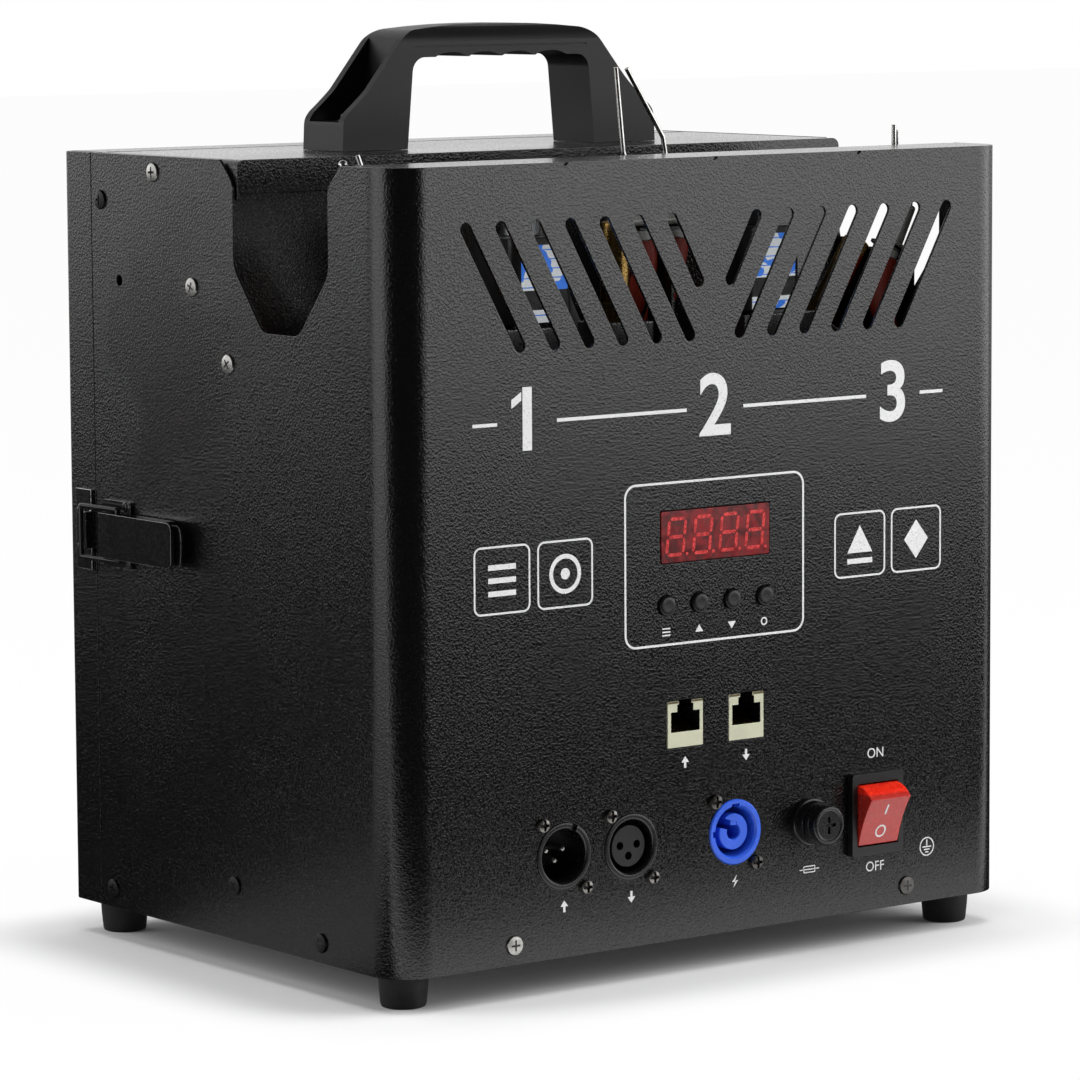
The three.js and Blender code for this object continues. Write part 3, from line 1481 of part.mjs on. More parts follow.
// Rocker switch: bezel and body, and the tilted key on its pivot pin
function rockerFrame() {
  const z = at(socketRowHeight);
  const bezel = alongDepth(rectangle(rockerX - bezelWidth / 2, rockerX + bezelWidth / 2,
    z - bezelHeight / 2, z + bezelHeight / 2, bezelCorner), -bezelProud, -contact, slotSteps);
  const body = block(rockerX - rockerBodyWidth / 2, rockerX + rockerBodyWidth / 2,
    -rockerSeatDepth, rockerBodyDepth, z - rockerBodyHeight / 2, z + rockerBodyHeight / 2);
  const well = block(rockerX - rockerOpeningWidth / 2, rockerX + rockerOpeningWidth / 2,
    -bezelProud - overrun, rockerWellDepth, z - rockerOpeningHeight / 2, z + rockerOpeningHeight / 2);
  const pinEnd = point(rockerX - rockerOpeningWidth / 2 - contact, -rockerPivotReach, z);
  const pin = bar(pinEnd, axisX, rockerPinRadius, rockerOpeningWidth + 2 * contact, smallSides);
  return cut(bezel.add(body), [well]).add(pin);
}

function rockerKey() {
  const z = at(socketRowHeight);
  const reach = rockerFaceReach;
  const tall = rockerHalfHeight;
  const swing = Math.hypot(reach, tall);
  const corner = Math.atan2(tall, -reach);
  const sweep = THREE.MathUtils.degToRad(rockerEndSweep);
  const shape = new THREE.Shape();
  shape.moveTo(-reach, -tall);
  shape.absarc(0, 0, swing, -corner, -corner + sweep, false);
  shape.lineTo(rockerBackReach, -rockerBackReach);
  shape.lineTo(rockerBackReach, rockerBackReach);
  shape.absarc(0, 0, swing, corner - sweep, corner, false);
  shape.quadraticCurveTo(-reach + rockerFaceSag * 2, 0, -reach, -tall);
  const geometry = extruded(shape, rockerWidth);
  geometry.applyMatrix4(new THREE.Matrix4().makeBasis(axisY, axisZ, axisX));
  geometry.translate(-rockerWidth / 2, 0, 0);
  geometry.rotateX(THREE.MathUtils.degToRad(rockerTilt));
  geometry.translate(rockerX, -rockerPivotReach, z);
  const bore = bar(point(rockerX - rockerWidth, -rockerPivotReach, z), axisX, rockerPinRadius + fit,
    2 * rockerWidth, smallSides);
  return cut(solid(geometry), [bore]);
}

add(frontPanel, 'fuse_holder', blackPlastic(), fuseHolder());
add(frontPanel, 'fuse_cap', blackPlastic(), fuseCap());
add(frontPanel, 'glass_fuse', clearGlass(), glassFuse());
add(frontPanel, 'rocker_frame', blackPlastic(), rockerFrame());
add(frontPanel, 'rocker_key', redPlastic(), rockerKey());

// Power supply and spark module
function powerSupply() {
  const z0 = bottom + sheet + contact;
  return block(-supplyWidth / 2, supplyWidth / 2, supplyFront, supplyFront + supplyDepth,
    z0, z0 + supplyHeight);
}

function ignitionModule() {
  const y1 = partitionFace - contact;
  const y0 = y1 - igniterDepth;
  const z0 = at(igniterBottom);
  const body = block(-igniterWidth / 2, igniterWidth / 2, y0, y1, z0, z0 + igniterHeight);
  const towers = electrodeEnds.map((ends, index) => bar(point(towerX(index), (y0 + y1) / 2, z0),
    axisZ, igniterTowerRadius, igniterHeight + igniterTowerHeight, smallSides));
  return join([body, ...towers]);
}

const towerX = (index) => (index - (electrodeEnds.length - 1) / 2) * igniterTowerPitch;

add(burners, 'power_supply', supplyMetal(), powerSupply());
add(burners, 'ignition_module', blackPlastic(), ignitionModule());

// Burner deck across the trough, with the brackets of the electrodes bent up from it
const headPlaces = [-1, 0, 1];

function nozzleFoot(head) {
  if (head === 0) {
    return point(centreHeadX, headDepth, deckTop + contact + valveHeight);
  }
  const run = (valveOuterX - valveSlopeX) / 2;
  const drop = run * Math.tan(THREE.MathUtils.degToRad(nozzleTilt));
  return point(head * (valveSlopeX + run), headDepth, deckTop + contact + valveHeight - drop);
}

function leaning(degrees) {
  const angle = THREE.MathUtils.degToRad(degrees);
  return point(Math.sin(angle), 0, Math.cos(angle));
}

const nozzleWay = (head) => leaning(head * nozzleTilt);

function insulatorFeet() {
  const row = (side) => sides.map((rank) => ({
    foot: point(side * sideInsulatorX, headDepth + rank * sideInsulatorSpread, at(sideInsulatorHeight)),
    way: leaning(side * sideInsulatorTilt),
  }));
  const centre = centreInsulatorXs.map((x) => ({
    foot: point(x, headDepth, at(centreInsulatorHeight)),
    way: leaning(centreInsulatorTilt),
  }));
  return [...row(-1), ...centre, ...row(1)];
}

const electrodeFeet = insulatorFeet();
const asPoint = ([x, depth, height]) => point(x, depth, at(height));

function nozzleDeck() {
  const rear = partitionFace - fit;
  const plate = upright(bayOutline(rear), deckTop - sheet, deckTop);
  const lips = bayFlanges(rear, deckTop - deckLip, deckTop - sheet / 2);
  lips.push(block(-innerHalf, innerHalf, rear - sheet, rear, deckTop - deckLip, deckTop - sheet / 2));
  const holes = leadWays.map((way) => {
    const [x, depth] = way.find(([, , height]) => height < deckHeight + leadHoleRadius);
    return bar(point(x, depth, deckTop - sheet - overrun), axisZ, leadHoleRadius,
      sheet + 2 * overrun, smallSides);
  });
  holes.push(bar(point(centreHeadX, headDepth, deckTop - sheet - overrun), axisZ, coreRadius + fit,
    sheet + 2 * overrun, midSides));
  return join([cut(join([plate, ...lips]), holes), ...sides.map(sideBracket), centreBracket()]);
}

// Valve block with the core tube that carries the coil
function coreTube(place, way) {
  const seat = coilLift + coilHeight + contact;
  return turned([
    [0, -coilLift],
    [coreRadius, -coilLift],
    [coreRadius, seat],
    [coreNutRadius, seat],
    [coreNutRadius, seat + coreNutHeight],
    [coreRadius, seat + coreNutHeight],
    [coreRadius, seat + coreNutHeight + coreCapHeight],
    [0, seat + coreNutHeight + coreCapHeight],
  ], place, way, midSides);
}

function valve(head) {
  const z0 = deckTop + contact;
  const z1 = z0 + valveHeight;
  const y0 = headDepth - headHalfWidth;
  const y1 = headDepth + headHalfWidth;
  const foot = nozzleFoot(head);
  if (head === 0) {
    const body = block(centreHeadX - headHalfWidth, centreHeadX + headHalfWidth, y0, y1, z0, z1);
    return join([body, coreTube(point(centreHeadX, headDepth, z0), down), nozzle(head)]);
  }
  const drop = 2 * (z1 - foot.z);
  const shape = outline([
    [head * valveInnerX, z0],
    [head * valveOuterX, z0],
    [head * valveOuterX, z1 - drop],
    [head * valveSlopeX, z1],
    [head * valveInnerX, z1],
  ]);
  const core = coreTube(point(head * coilX, headDepth, z1), axisZ);
  return join([alongDepth(shape, y0, y1), core, nozzle(head)]);
}

function coil(head) {
  const x = head === 0 ? centreHeadX : head * coilX;
  const z0 = head === 0
    ? deckTop + contact - coilLift - coilHeight
    : deckTop + contact + valveHeight + coilLift;
  const body = upright(rectangle(x - coilWidth / 2, x + coilWidth / 2,
    headDepth - coilWidth / 2, headDepth + coilWidth / 2, coilCorner), z0, z0 + coilHeight);
  const bore = bar(point(x, headDepth, z0 - overrun), axisZ, coreRadius + fit,
    coilHeight + 2 * overrun, midSides);
  return cut(body, [bore]);
}

function nozzle(head) {
  const foot = nozzleFoot(head);
  const barrel = turned([
    [0, -nozzleRootLength],
    [nozzleNeckRadius, -nozzleRootLength],
    [nozzleNeckRadius, nozzleEdge],
    [nozzleRadius, nozzleEdge],
    [nozzleRadius, nozzleLength - nozzleEdge],
    [nozzleRadius - nozzleEdge, nozzleLength],
    [nozzleBore, nozzleLength],
    [nozzleBore, nozzleLength - nozzleBoreDepth],
    [0, nozzleLength - nozzleBoreDepth],
  ], foot, nozzleWay(head), midSides);
  const hexBase = foot.clone().addScaledVector(nozzleWay(head), -contact);
  return barrel.add(bar(hexBase, nozzleWay(head), nozzleHexRadius, nozzleHexHeight, hexSides));
}

// Spark electrodes: a steel rod set in a ceramic, with its lead
function insulator({ foot, way }) {
  return turned([
    [0, 0],
    [insulatorRadius, 0],
    [insulatorRadius, collarBase],
    [collarRadius, collarBase],
    [collarRadius, collarBase + collarHeight],
    [insulatorRadius, collarBase + collarHeight],
    [insulatorTipRadius, insulatorLength],
    [0, insulatorLength],
  ], foot, way, smallSides);
}

function sparkElectrode({ foot, way }, index) {
  const ends = electrodeEnds[index].map(asPoint);
  const inside = foot.clone().addScaledVector(way, insulatorLength / 2);
  const clear = foot.clone().addScaledVector(way, insulatorLength + electrodeRise);
  const wire = bentWire([inside, clear, ...ends], electrodeRadius);
  const pieces = [insulator({ foot, way }), wire, sparkLead({ foot, way }, index)];
  if (index === 1) {
    pieces.push(ball(ends[ends.length - 1], electrodeBallRadius));
  }
  return join(pieces);
}

function sideBracket(side) {
  const z0 = deckTop - sheet / 2;
  const bend = at(sideBracketBend);
  const x = sideBracketX;
  const t = bracketThickness;
  const tilt = THREE.MathUtils.degToRad(sideInsulatorTilt);
  const run = sideBracketPlate * Math.cos(tilt);
  const rise = sideBracketPlate * Math.sin(tilt);
  const tipX = x - run;
  const tipZ = bend + rise;
  const corners = [
    [x, z0], [x, bend], [tipX, tipZ],
    [tipX - t * Math.sin(tilt), tipZ - t * Math.cos(tilt)],
    [x - t, bend - t * Math.tan(tilt / 2)], [x - t, z0],
  ];
  const shape = outline(corners.map(([a, b]) => [side * a, b]));
  const strip = alongDepth(shape, headDepth - sideBracketHalfWidth, headDepth + sideBracketHalfWidth);
  const own = electrodeFeet.filter(({ foot }) => foot.x * side > sideBracketX / 2);
  const holes = own.map(insulatorClearance);
  holes.push(bar(nozzleFoot(side), nozzleWay(side), nozzleHexRadius, 2 * nozzleLength, midSides));
  return cut(strip, holes);
}

function insulatorClearance({ foot, way }) {
  return bar(foot, way, insulatorRadius + fit, insulatorLength, smallSides);
}

function centreBracket() {
  const z0 = deckTop - sheet / 2;
  const t = bracketThickness;
  const x = centreBracketX;
  const z1 = at(centreBracketHeight);
  const shape = outline([
    [x, z0], [x + t, z0], [x + t, z1 - t],
    [centreBracketTo, z1 - t], [centreBracketTo, z1], [centreBracketFrom, z1], [centreBracketFrom, z1 - t],
    [x, z1 - t],
  ]);
  const strip = alongDepth(shape, headDepth - centreBracketHalfWidth, headDepth + centreBracketHalfWidth);
  return cut(strip, [electrodeFeet[2], electrodeFeet[3]].map(insulatorClearance));
}

function towerTop(index) {
  return point(towerX(index), partitionFace - contact - igniterDepth / 2,
    at(igniterBottom + igniterHeight) + igniterTowerHeight + contact);
}

function sparkLead({ foot, way }, index) {
  const start = foot.clone().addScaledVector(way, leadRadius);
  const end = towerTop(index);
  const rising = end.clone().add(point(0, 0, igniterTowerHeight));
  return hose([start, ...leadWays[index].map(asPoint), rising, end], leadRadius, wireSides / 2);
}

add(burners, 'nozzle_deck', powderCoat(), nozzleDeck());
[['left', -1], ['centre', 0], ['right', 1]].forEach(([name, head]) => {
  add(burners, `valve_${name}`, brass(), valve(head));
  add(burners, `coil_${name}`, coilBlue(), coil(head));
});
electrodeFeet.forEach((place, index) => {
  add(burners, `spark_electrode_${index + 1}`, ceramic(), sparkElectrode(place, index));
});

// Gas cans, the rack above them with a coupling over each can, and the hoses
const canXs = headPlaces.map((head) => head * canPitch);

function gasCan(x) {
  const z0 = bottom + sheet + contact;
  return turned([
    [0, canDomeRise],
    [canRadius - canDomeInset, 0],
    [canRadius - canRimInset, 0],
    [canRadius, canRimHeight],
    [canRadius, canBodyHeight],
    [canNeckRadius, canShoulderHeight],
    [canNeckRadius, canShoulderHeight + canRimHeight],
    [canCupRadius, canShoulderHeight + canRimHeight],
    [canStemRadius, canCupHeight],
    [canStemRadius, canStemTop],
    [0, canStemTop],
  ], point(x, canDepth, z0), axisZ, canSides);
}

function canRack() {
  const z1 = at(rackHeight);
  const pieces = [block(-innerHalf, innerHalf, rackFront, rackRear, z1 - sheet, z1)];
  [[-innerHalf, -innerHalf + sheet], [innerHalf - sheet, innerHalf]].forEach(([x0, x1]) =>
    pieces.push(block(x0, x1, rackFront, rackRear, z1 - rackFlange, z1 - sheet / 2)));
  const holes = [];
  sides.forEach((side) => holes.push(flangeHole(side, rackSpareHoleDepth, rackScrewHeight)));
  const screws = sides.map((side) => sideScrew(side, rackScrewDepth, rackScrewHeight));
  return join([cut(join(pieces), holes), ...canXs.map(canCoupling), ...screws]);
}

function canCoupling(x) {
  const seat = rackHeight + contact;
  return turned([
    [couplingSocketRadius, couplingBottom],
    [couplingRadius, couplingBottom],
    [couplingRadius, seat],
    [couplingFlangeRadius, seat],
    [couplingFlangeRadius, seat + couplingFlangeHeight],
    [couplingTopRadius, seat + couplingFlangeHeight],
    [couplingTopRadius, couplingTopHeight],
    [0, couplingTopHeight],
    [0, couplingSocketTop],
    [couplingSocketRadius, couplingSocketTop],
    [couplingSocketRadius, couplingBottom],
  ], point(x, canDepth, bottom), axisZ, midSides);
}

function gasHose(x, index) {
  const pass = hosePassXs[index];
  const start = point(x, canDepth, at(couplingTopHeight) + contact);
  const rear = headDepth + headHalfWidth + contact;
  return hose([
    start,
    start.clone().add(point(0, 0, hoseBend / 2)),
    point(x, canDepth - hoseBend, at(hoseCrest)),
    point((x + pass) / 2, (canDepth + partitionFace) / 2, at(hoseCrest)),
    point(pass, partitionFace + hoseBend, at(hosePassHeight)),
    point(pass, partitionFace - hoseBend, at(hosePassHeight)),
    point(pass, rear + 2 * hoseBend, at(hoseValveHeight) + hoseBend),
    point(pass, rear + hoseBend, at(hoseValveHeight)),
    point(pass, rear, at(hoseValveHeight)),
  ], hoseRadius, wireSides / 2);
}

['left', 'centre', 'right'].forEach((name, index) => {
  add(gasBay, `gas_can_${name}`, canPaint(), gasCan(canXs[index]));
  add(gasBay, `gas_hose_${name}`, blackRubber(), gasHose(canXs[index], index));
});
add(gasBay, 'can_rack', powderCoat(), canRack());

// Centred over the outer box: latch tongue to hinge knuckle, fuse cap to door
const latchSide = half + leverReach + tongueRise;
const hingeSide = hingeAxisX + hingeKnuckleRadius;
model.position.set((latchSide - hingeSide) / 2, (fuseCapReach - cabinetDepth) / 2, 0);
model.updateMatrixWorld(true);

export default model;
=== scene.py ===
import math

import bmesh
import bpy
from mathutils import Matrix, Vector


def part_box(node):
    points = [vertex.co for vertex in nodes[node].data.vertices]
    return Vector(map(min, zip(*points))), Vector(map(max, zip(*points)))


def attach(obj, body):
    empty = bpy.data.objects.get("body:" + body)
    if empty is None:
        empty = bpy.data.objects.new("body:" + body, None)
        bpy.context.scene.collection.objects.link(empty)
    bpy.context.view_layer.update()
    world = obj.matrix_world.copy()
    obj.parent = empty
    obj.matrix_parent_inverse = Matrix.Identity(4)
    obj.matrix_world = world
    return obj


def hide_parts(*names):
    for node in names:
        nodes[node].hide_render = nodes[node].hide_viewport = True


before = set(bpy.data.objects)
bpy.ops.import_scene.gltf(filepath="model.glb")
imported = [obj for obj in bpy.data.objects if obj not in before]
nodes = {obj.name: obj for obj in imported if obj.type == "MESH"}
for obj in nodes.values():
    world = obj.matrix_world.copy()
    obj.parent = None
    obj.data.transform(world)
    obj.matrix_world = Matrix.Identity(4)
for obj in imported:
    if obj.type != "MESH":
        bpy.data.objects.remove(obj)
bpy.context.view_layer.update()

# Cabinet coordinates, in millimetres: x from its centre line, depth behind the front face and height
# above its bottom edge
shell_low, shell_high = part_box("front_shell")
cabinet_corner = Vector(((shell_low.x + shell_high.x) / 2, shell_low.y, shell_low.z))
cabinet = Matrix.Translation(cabinet_corner) @ Matrix.Scale(0.001, 4)

half_width = 141
cabinet_height = 280
sheet = 1.2
shell_rear = 189
door_front = 189.5
cabinet_depth = 208
socket_row = 36.4
button_row = 121.3
jack_base = 78.3 - 8.4
head_depth = 44
deck_top = 205.1
latch_middle = 140.5
handle_depth = 138
can_depth = 142
origin = Vector((0, 0, 0))
left, right = Vector((-1, 0, 0)), Vector((1, 0, 0))
front, back = Vector((0, -1, 0)), Vector((0, 1, 0))
up, down = Vector((0, 0, 1)), Vector((0, 0, -1))


# Finishes
class Value:
    """A number, colour or vector on its way through a finish, with arithmetic for numbers."""

    def __init__(self, finish, socket):
        self.finish = finish
        self.socket = socket

    def math(self, operation, first, second):
        return self.finish.node("ShaderNodeMath", {"operation": operation}, {0: first, 1: second})

    def __add__(self, other):
        return self.math("ADD", self, other)

    def __sub__(self, other):
        return self.math("SUBTRACT", self, other)

    def __rsub__(self, other):
        return self.math("SUBTRACT", other, self)

    def __mul__(self, other):
        return self.math("MULTIPLY", self, other)

    def __truediv__(self, other):
        return self.math("DIVIDE", self, other)

    def __gt__(self, other):
        return self.math("GREATER_THAN", self, other)

    __radd__ = __add__
    __rmul__ = __mul__


class Finish:
    """A node tree that is filled by expressions on its values."""

    def __init__(self, tree):
        self.tree = tree
        self.tree.nodes.clear()
        self.object_place = None

    def node(self, kind, settings=None, sockets=None, output=0):
        made = self.tree.nodes.new(kind)
        for name, setting in (settings or {}).items():
            setattr(made, name, setting)
        for name, value in (sockets or {}).items():
            socket = found(made.inputs, name)
            if isinstance(value, Value):
                self.tree.links.new(value.socket, socket)
            else:
                socket.default_value = value
        return Value(self, found(made.outputs, output)) if made.outputs else None

    def place(self):
        if self.object_place is None:
            self.object_place = self.node("ShaderNodeTexCoord", output="Object")
        return self.object_place

    def axis(self, name):
        return self.node("ShaderNodeSeparateXYZ", sockets={"Vector": self.place()}, output=name)

    def above_base(self):
        return (self.axis("Z") - cabinet_corner.z) * 1000

    def behind_front(self):
        return (self.axis("Y") - cabinet_corner.y) * 1000

    def rays(self):
        """Whether a ray comes from the camera, from a mirroring surface or through glass."""
        return [self.node("ShaderNodeLightPath", output=kind)
                for kind in ("Is Camera Ray", "Is Glossy Ray", "Is Transmission Ray")]

    def stretched(self, scale):
        return self.node("ShaderNodeMapping", sockets={"Vector": self.place(), "Scale": scale})

    def noise(self, size, detail=2.0, distortion=0.0, stretch=None):
        """Soft noise whose spots are about that many millimetres wide."""
        where = self.stretched(stretch) if stretch else self.place()
        return self.node("ShaderNodeTexNoise", sockets={
            "Vector": where, "Scale": 1000 / size, "Detail": detail, "Distortion": distortion})

    def vector(self, operation, *values, output="Vector"):
        """Vector arithmetic; a length or a product comes out at Value."""
        return self.node("ShaderNodeVectorMath", {"operation": operation}, dict(enumerate(values)), output)

    def cell_borders(self, size):
        """Distance to the border of cells about that many millimetres wide."""
        return self.node("ShaderNodeTexVoronoi", {"feature": "DISTANCE_TO_EDGE"}, {
            "Vector": self.place(), "Scale": 1000 / size})

    def between(self, value, low, high, start=0.0, end=1.0):
        """Runs smoothly from start to end as the value goes from low to high."""
        return self.node("ShaderNodeMapRange", {"interpolation_type": "SMOOTHSTEP"}, {
            "Value": value, "From Min": low, "From Max": high, "To Min": start, "To Max": end})

    def falling(self, value, low, high):
        """1 up to low and 0 from high on."""
        return self.between(value, low, high, 1.0, 0.0)

    def spread(self, noise, start=0.0, end=1.0):
        """Runs from start to end over the values that a noise mostly has."""
        return self.between(noise, 0.3, 0.7, start, end)

    def within(self, value, low, high, blur):
        """1 from low to high and 0 outside, with soft ends."""
        return self.between(value, low, low + blur) * self.falling(value, high, high + blur)

    def mixed(self, factor, first, second):
        """A colour that goes from the first to the second as the factor goes from 0 to 1."""
        return self.node("ShaderNodeMix", {"data_type": "RGBA"}, {
            "Factor_Float": factor, "A_Color": colour(first), "B_Color": colour(second)}, "Result_Color")

    def edge(self):
        """Where a piece's edges are rounded."""
        return self.node("ShaderNodeAttribute", {"attribute_name": "edge"}, output="Fac")

    def edge_wear(self, spot=1.4):
        """The rounded edges of a piece, broken up into rubbed places."""
        return self.edge() * self.between(self.noise(spot, 3.0), 0.42, 0.62)

    def bump(self, height, depth, strength=1.0):
        """A relief that is that many millimetres deep."""
        return self.node("ShaderNodeBump", sockets={
            "Height": height, "Distance": depth / 1000, "Strength": strength})

    def surface(self, sockets):
        shader = self.node("ShaderNodeBsdfPrincipled", sockets=sockets)
        self.node("ShaderNodeOutputMaterial", sockets={"Surface": shader})

    def emission(self, level):
        return self.node("ShaderNodeEmission", sockets={"Color": level, "Strength": 1.0})

    def mixed_shaders(self, factor, first, second):
        return self.node("ShaderNodeMixShader", sockets={0: factor, 1: first, 2: second})


def found(sockets, name):
    """The socket of that number, identifier or name."""
    if isinstance(name, int):
        return sockets[name]
    return next(socket for socket in sockets if name in (socket.identifier, socket.name))


def colour(value):
    if isinstance(value, Value):
        return value
    if isinstance(value, (int, float)):
        return (value, value, value, 1)
    return (*value, 1)


finishes = {}


def finish(name):
    """A new material, kept under its name."""
    finishes[name] = bpy.data.materials.new(name)
    finishes[name].use_nodes = True
    return Finish(finishes[name].node_tree)


def powder_coat():
    f = finish("powder_coat")
    wrinkle = f.noise(0.78, 1.0, 0.4, stretch=(1, 1, 0.88))
    fine = f.noise(0.45, 1.0)
    cloud = f.noise(70, 3.0)
    worn = f.edge_wear()
    base = f.mixed(cloud, 0.0022, 0.0034)
    f.surface({
        "Base Color": f.mixed(worn * 0.35, base, 0.05),
        "Roughness": f.spread(cloud, 0.1, 0.14) + f.between(wrinkle, 0.3, 0.6, 0.15, 0.0),
        "Normal": f.bump(f.between(wrinkle, 0.35, 0.65) + fine * 0.25, 0.036, 1.0),
    })


def printed_ink():
    f = finish("printed_ink")
    wrinkle = f.noise(1.25, 2.0, 0.8)
    thin = f.between(f.noise(0.7, 2.0), 0.25, 0.42)
    f.surface({
        "Base Color": f.mixed(thin, 0.42, 0.68),
        "Roughness": f.spread(wrinkle, 0.42, 0.55),
        "Normal": f.bump(wrinkle, 0.05, 0.4),
    })


def plastic(name, shade, roughness, grain=0.5, grain_depth=0.02, worn_shade=None, shine=0.5):
    """Moulded plastic: fine spark grain, faint flow clouds and polished edges."""
    f = finish(name)
    spark = f.noise(grain, 2.0)
    cloud = f.noise(24, 2.0, 1.0)
    worn = f.edge_wear(2.0)
    darker = tuple(0.86 * part for part in shade)
    base = f.mixed(f.spread(cloud), darker, shade)
    rubbed = worn_shade or tuple(min(1.0, 1.6 * part + 0.01) for part in shade)
    f.surface({
        "Base Color": f.mixed(worn * 0.5, base, rubbed),
        "Roughness": f.spread(spark, roughness - 0.05, roughness + 0.06),
        "Normal": f.bump(spark, grain_depth, 0.5),
        "Specular IOR Level": shine,
    })


def rubber(name, shade=0.012):
    f = finish(name)
    speck = f.noise(0.8, 3.0)
    dust = f.between(f.noise(9, 4.0), 0.5, 0.8)
    f.surface({
        "Base Color": f.mixed(dust * 0.4, shade, shade * 2.6),
        "Roughness": f.spread(speck, 0.58, 0.72),
        "Normal": f.bump(speck, 0.03, 0.5),
    })


def metal(name, shade, roughness, worn_shade=None, scratch=(1, 1, 14), tint=None):
    """Bare or plated metal with fine drawn lines, faint stains and bright rubbed edges."""
    f = finish(name)
    lines = f.noise(1.6, 3.0, stretch=scratch)
    stain = f.noise(6, 4.0, 0.5)
    worn = f.edge_wear()
    base = f.mixed(f.between(stain, 0.35, 0.7), shade, tint or tuple(0.8 * part for part in shade))
    f.surface({
        "Base Color": f.mixed(worn * 0.7, base, worn_shade or shade),
        "Metallic": 1.0,
        "Roughness": f.spread(lines, roughness - 0.06, roughness + 0.08) + stain * 0.06,
        "Normal": f.bump(lines, 0.006, 0.4),
    })


def black_steel(name, roughness, shade, start):
    """Steel with a thin glossy black finish whose rounded edges are light and metallic: partly rubbed steel,
    partly painted edge glints.
    """
    f = finish(name)
    orange_peel = f.noise(1.0, 2.0)
    # Painted edge glint and wear: the rounded edges, broken up by noise, get a light metallic colour that
    # stands partly for rubbed steel and partly for the glints of light on them.
    worn = f.edge() * f.between(f.noise(0.9, 3.0), start, start + 0.2)
    f.surface({
        "Base Color": f.mixed(worn, f.mixed(f.noise(8, 3.0), shade, 2 * shade), 0.4),
        "Metallic": worn * 0.8,
        "Roughness": f.spread(orange_peel, roughness - 0.04, roughness + 0.08),
        "Normal": f.bump(orange_peel, 0.01, 0.5),
    })


def circuit_board():
    """Green solder mask over copper tracks."""
    f = finish("circuit_board")
    track = f.between(f.cell_borders(3.2), 0.02, 0.06)
    f.surface({
        "Base Color": f.mixed(track, (0.02, 0.16, 0.07), (0.008, 0.075, 0.035)),
        "Roughness": f.spread(f.noise(2, 2.0), 0.28, 0.4),
        "Normal": f.bump(track, 0.03, 0.4),
    })


def coil_wrap():
    """Blue tape over the winding, with a plain pale band and thin blue rules."""
    f = finish("coil_wrap")
    height = f.above_base()
    depth = f.behind_front()
    label = f.falling(depth, 30.55, 30.6) * (
        f.within(height, 233.4, 249.4, 0.1) + f.within(height, 221.9, 226.4, 0.1))
    turns = f.node("ShaderNodeMath", {"operation": "FRACT"}, {0: height / 3.3})
    ruled = f.between(turns, 0.1, 0.14) * f.between(f.noise(6, 0.0, stretch=(1, 1, 1.6)), 0.45, 0.47)
    dull = f.noise(1.2, 3.0)
    blue = f.mixed(dull, (0.012, 0.15, 0.78), (0.02, 0.24, 0.95))
    f.surface({
        "Base Color": f.mixed(label, 0.006, f.mixed(ruled, blue, (0.72, 0.76, 0.78))),
        "Roughness": f.spread(dull, 0.28, 0.42),
        "Normal": f.bump(f.noise(0.8, 2.0, stretch=(1, 1, 5)), 0.02, 0.4),
    })


def ceramic():
    f = finish("ceramic_white")
    soot = f.between(f.noise(7, 4.0), 0.5, 0.75)
    f.surface({
        "Base Color": f.mixed(soot * 0.5, (0.22, 0.22, 0.21), (0.12, 0.115, 0.11)),
        "Roughness": f.between(soot, 0.0, 1.0, 0.24, 0.5),
        "Normal": f.bump(f.noise(0.6, 2.0), 0.01, 0.5),
    })


def can_paint():
    """Lacquered tinplate with a plain red band."""
    f = finish("can_paint")
    height = f.above_base()
    band = f.within(height, 40, 120, 0.4)
    scuff = f.between(f.noise(3, 4.0, stretch=(1, 1, 0.3)), 0.62, 0.7)
    base = f.mixed(band, (0.52, 0.54, 0.56), (0.42, 0.045, 0.02))
    f.surface({
        "Base Color": f.mixed(scuff * 0.4, base, (0.3, 0.3, 0.3)),
        "Metallic": 0.35,
        "Roughness": f.between(scuff, 0.0, 1.0, 0.24, 0.42),
        "Normal": f.bump(f.noise(4, 2.0), 0.02, 0.3),
    })


def display_window():
    """Dark red filter over the digits, unevenly lit."""
    f = finish("display_red")
    depth = f.noise(7, 2.0, 1.2)
    f.surface({
        "Base Color": f.mixed(f.between(depth, 0.35, 0.65), (0.06, 0.002, 0.003), (0.18, 0.004, 0.006)),
        "Roughness": f.spread(f.noise(3, 2.0), 0.16, 0.24),
        "Normal": f.bump(f.noise(12, 1.0), 0.05, 0.15),
    })


def display_segment():
    f = finish("display_segments")
    uneven = f.noise(1.6, 3.0, 1.0)
    f.surface({
        "Base Color": f.mixed(f.between(uneven, 0.35, 0.65), (0.32, 0.01, 0.011), (0.6, 0.022, 0.022)),
        "Roughness": f.spread(uneven, 0.2, 0.32),
        "Normal": f.bump(uneven, 0.02, 0.3),
    })


def rocker_red():
    """Clear red moulding that scatters light from inside."""
    f = finish("red_plastic")
    flow = f.noise(5, 3.0, 1.5)
    worn = f.edge_wear(1.0)
    height = f.above_base()
    window = f.falling(height, socket_row + 7.6, socket_row + 8.8)
    body = f.mixed(f.spread(flow), (0.66, 0.014, 0.006), (0.82, 0.032, 0.012))
    f.surface({
        "Base Color": f.mixed(window * 0.8, body, f.mixed(flow, (0.28, 0.018, 0.015), (0.34, 0.03, 0.025))),
        "Roughness": f.spread(flow, 0.2, 0.3) + worn * 0.15,
        "Normal": f.bump(f.noise(0.5, 2.0), 0.01, 0.4),
        "Subsurface Weight": 0.25,
        "Subsurface Scale": 0.004,
    })


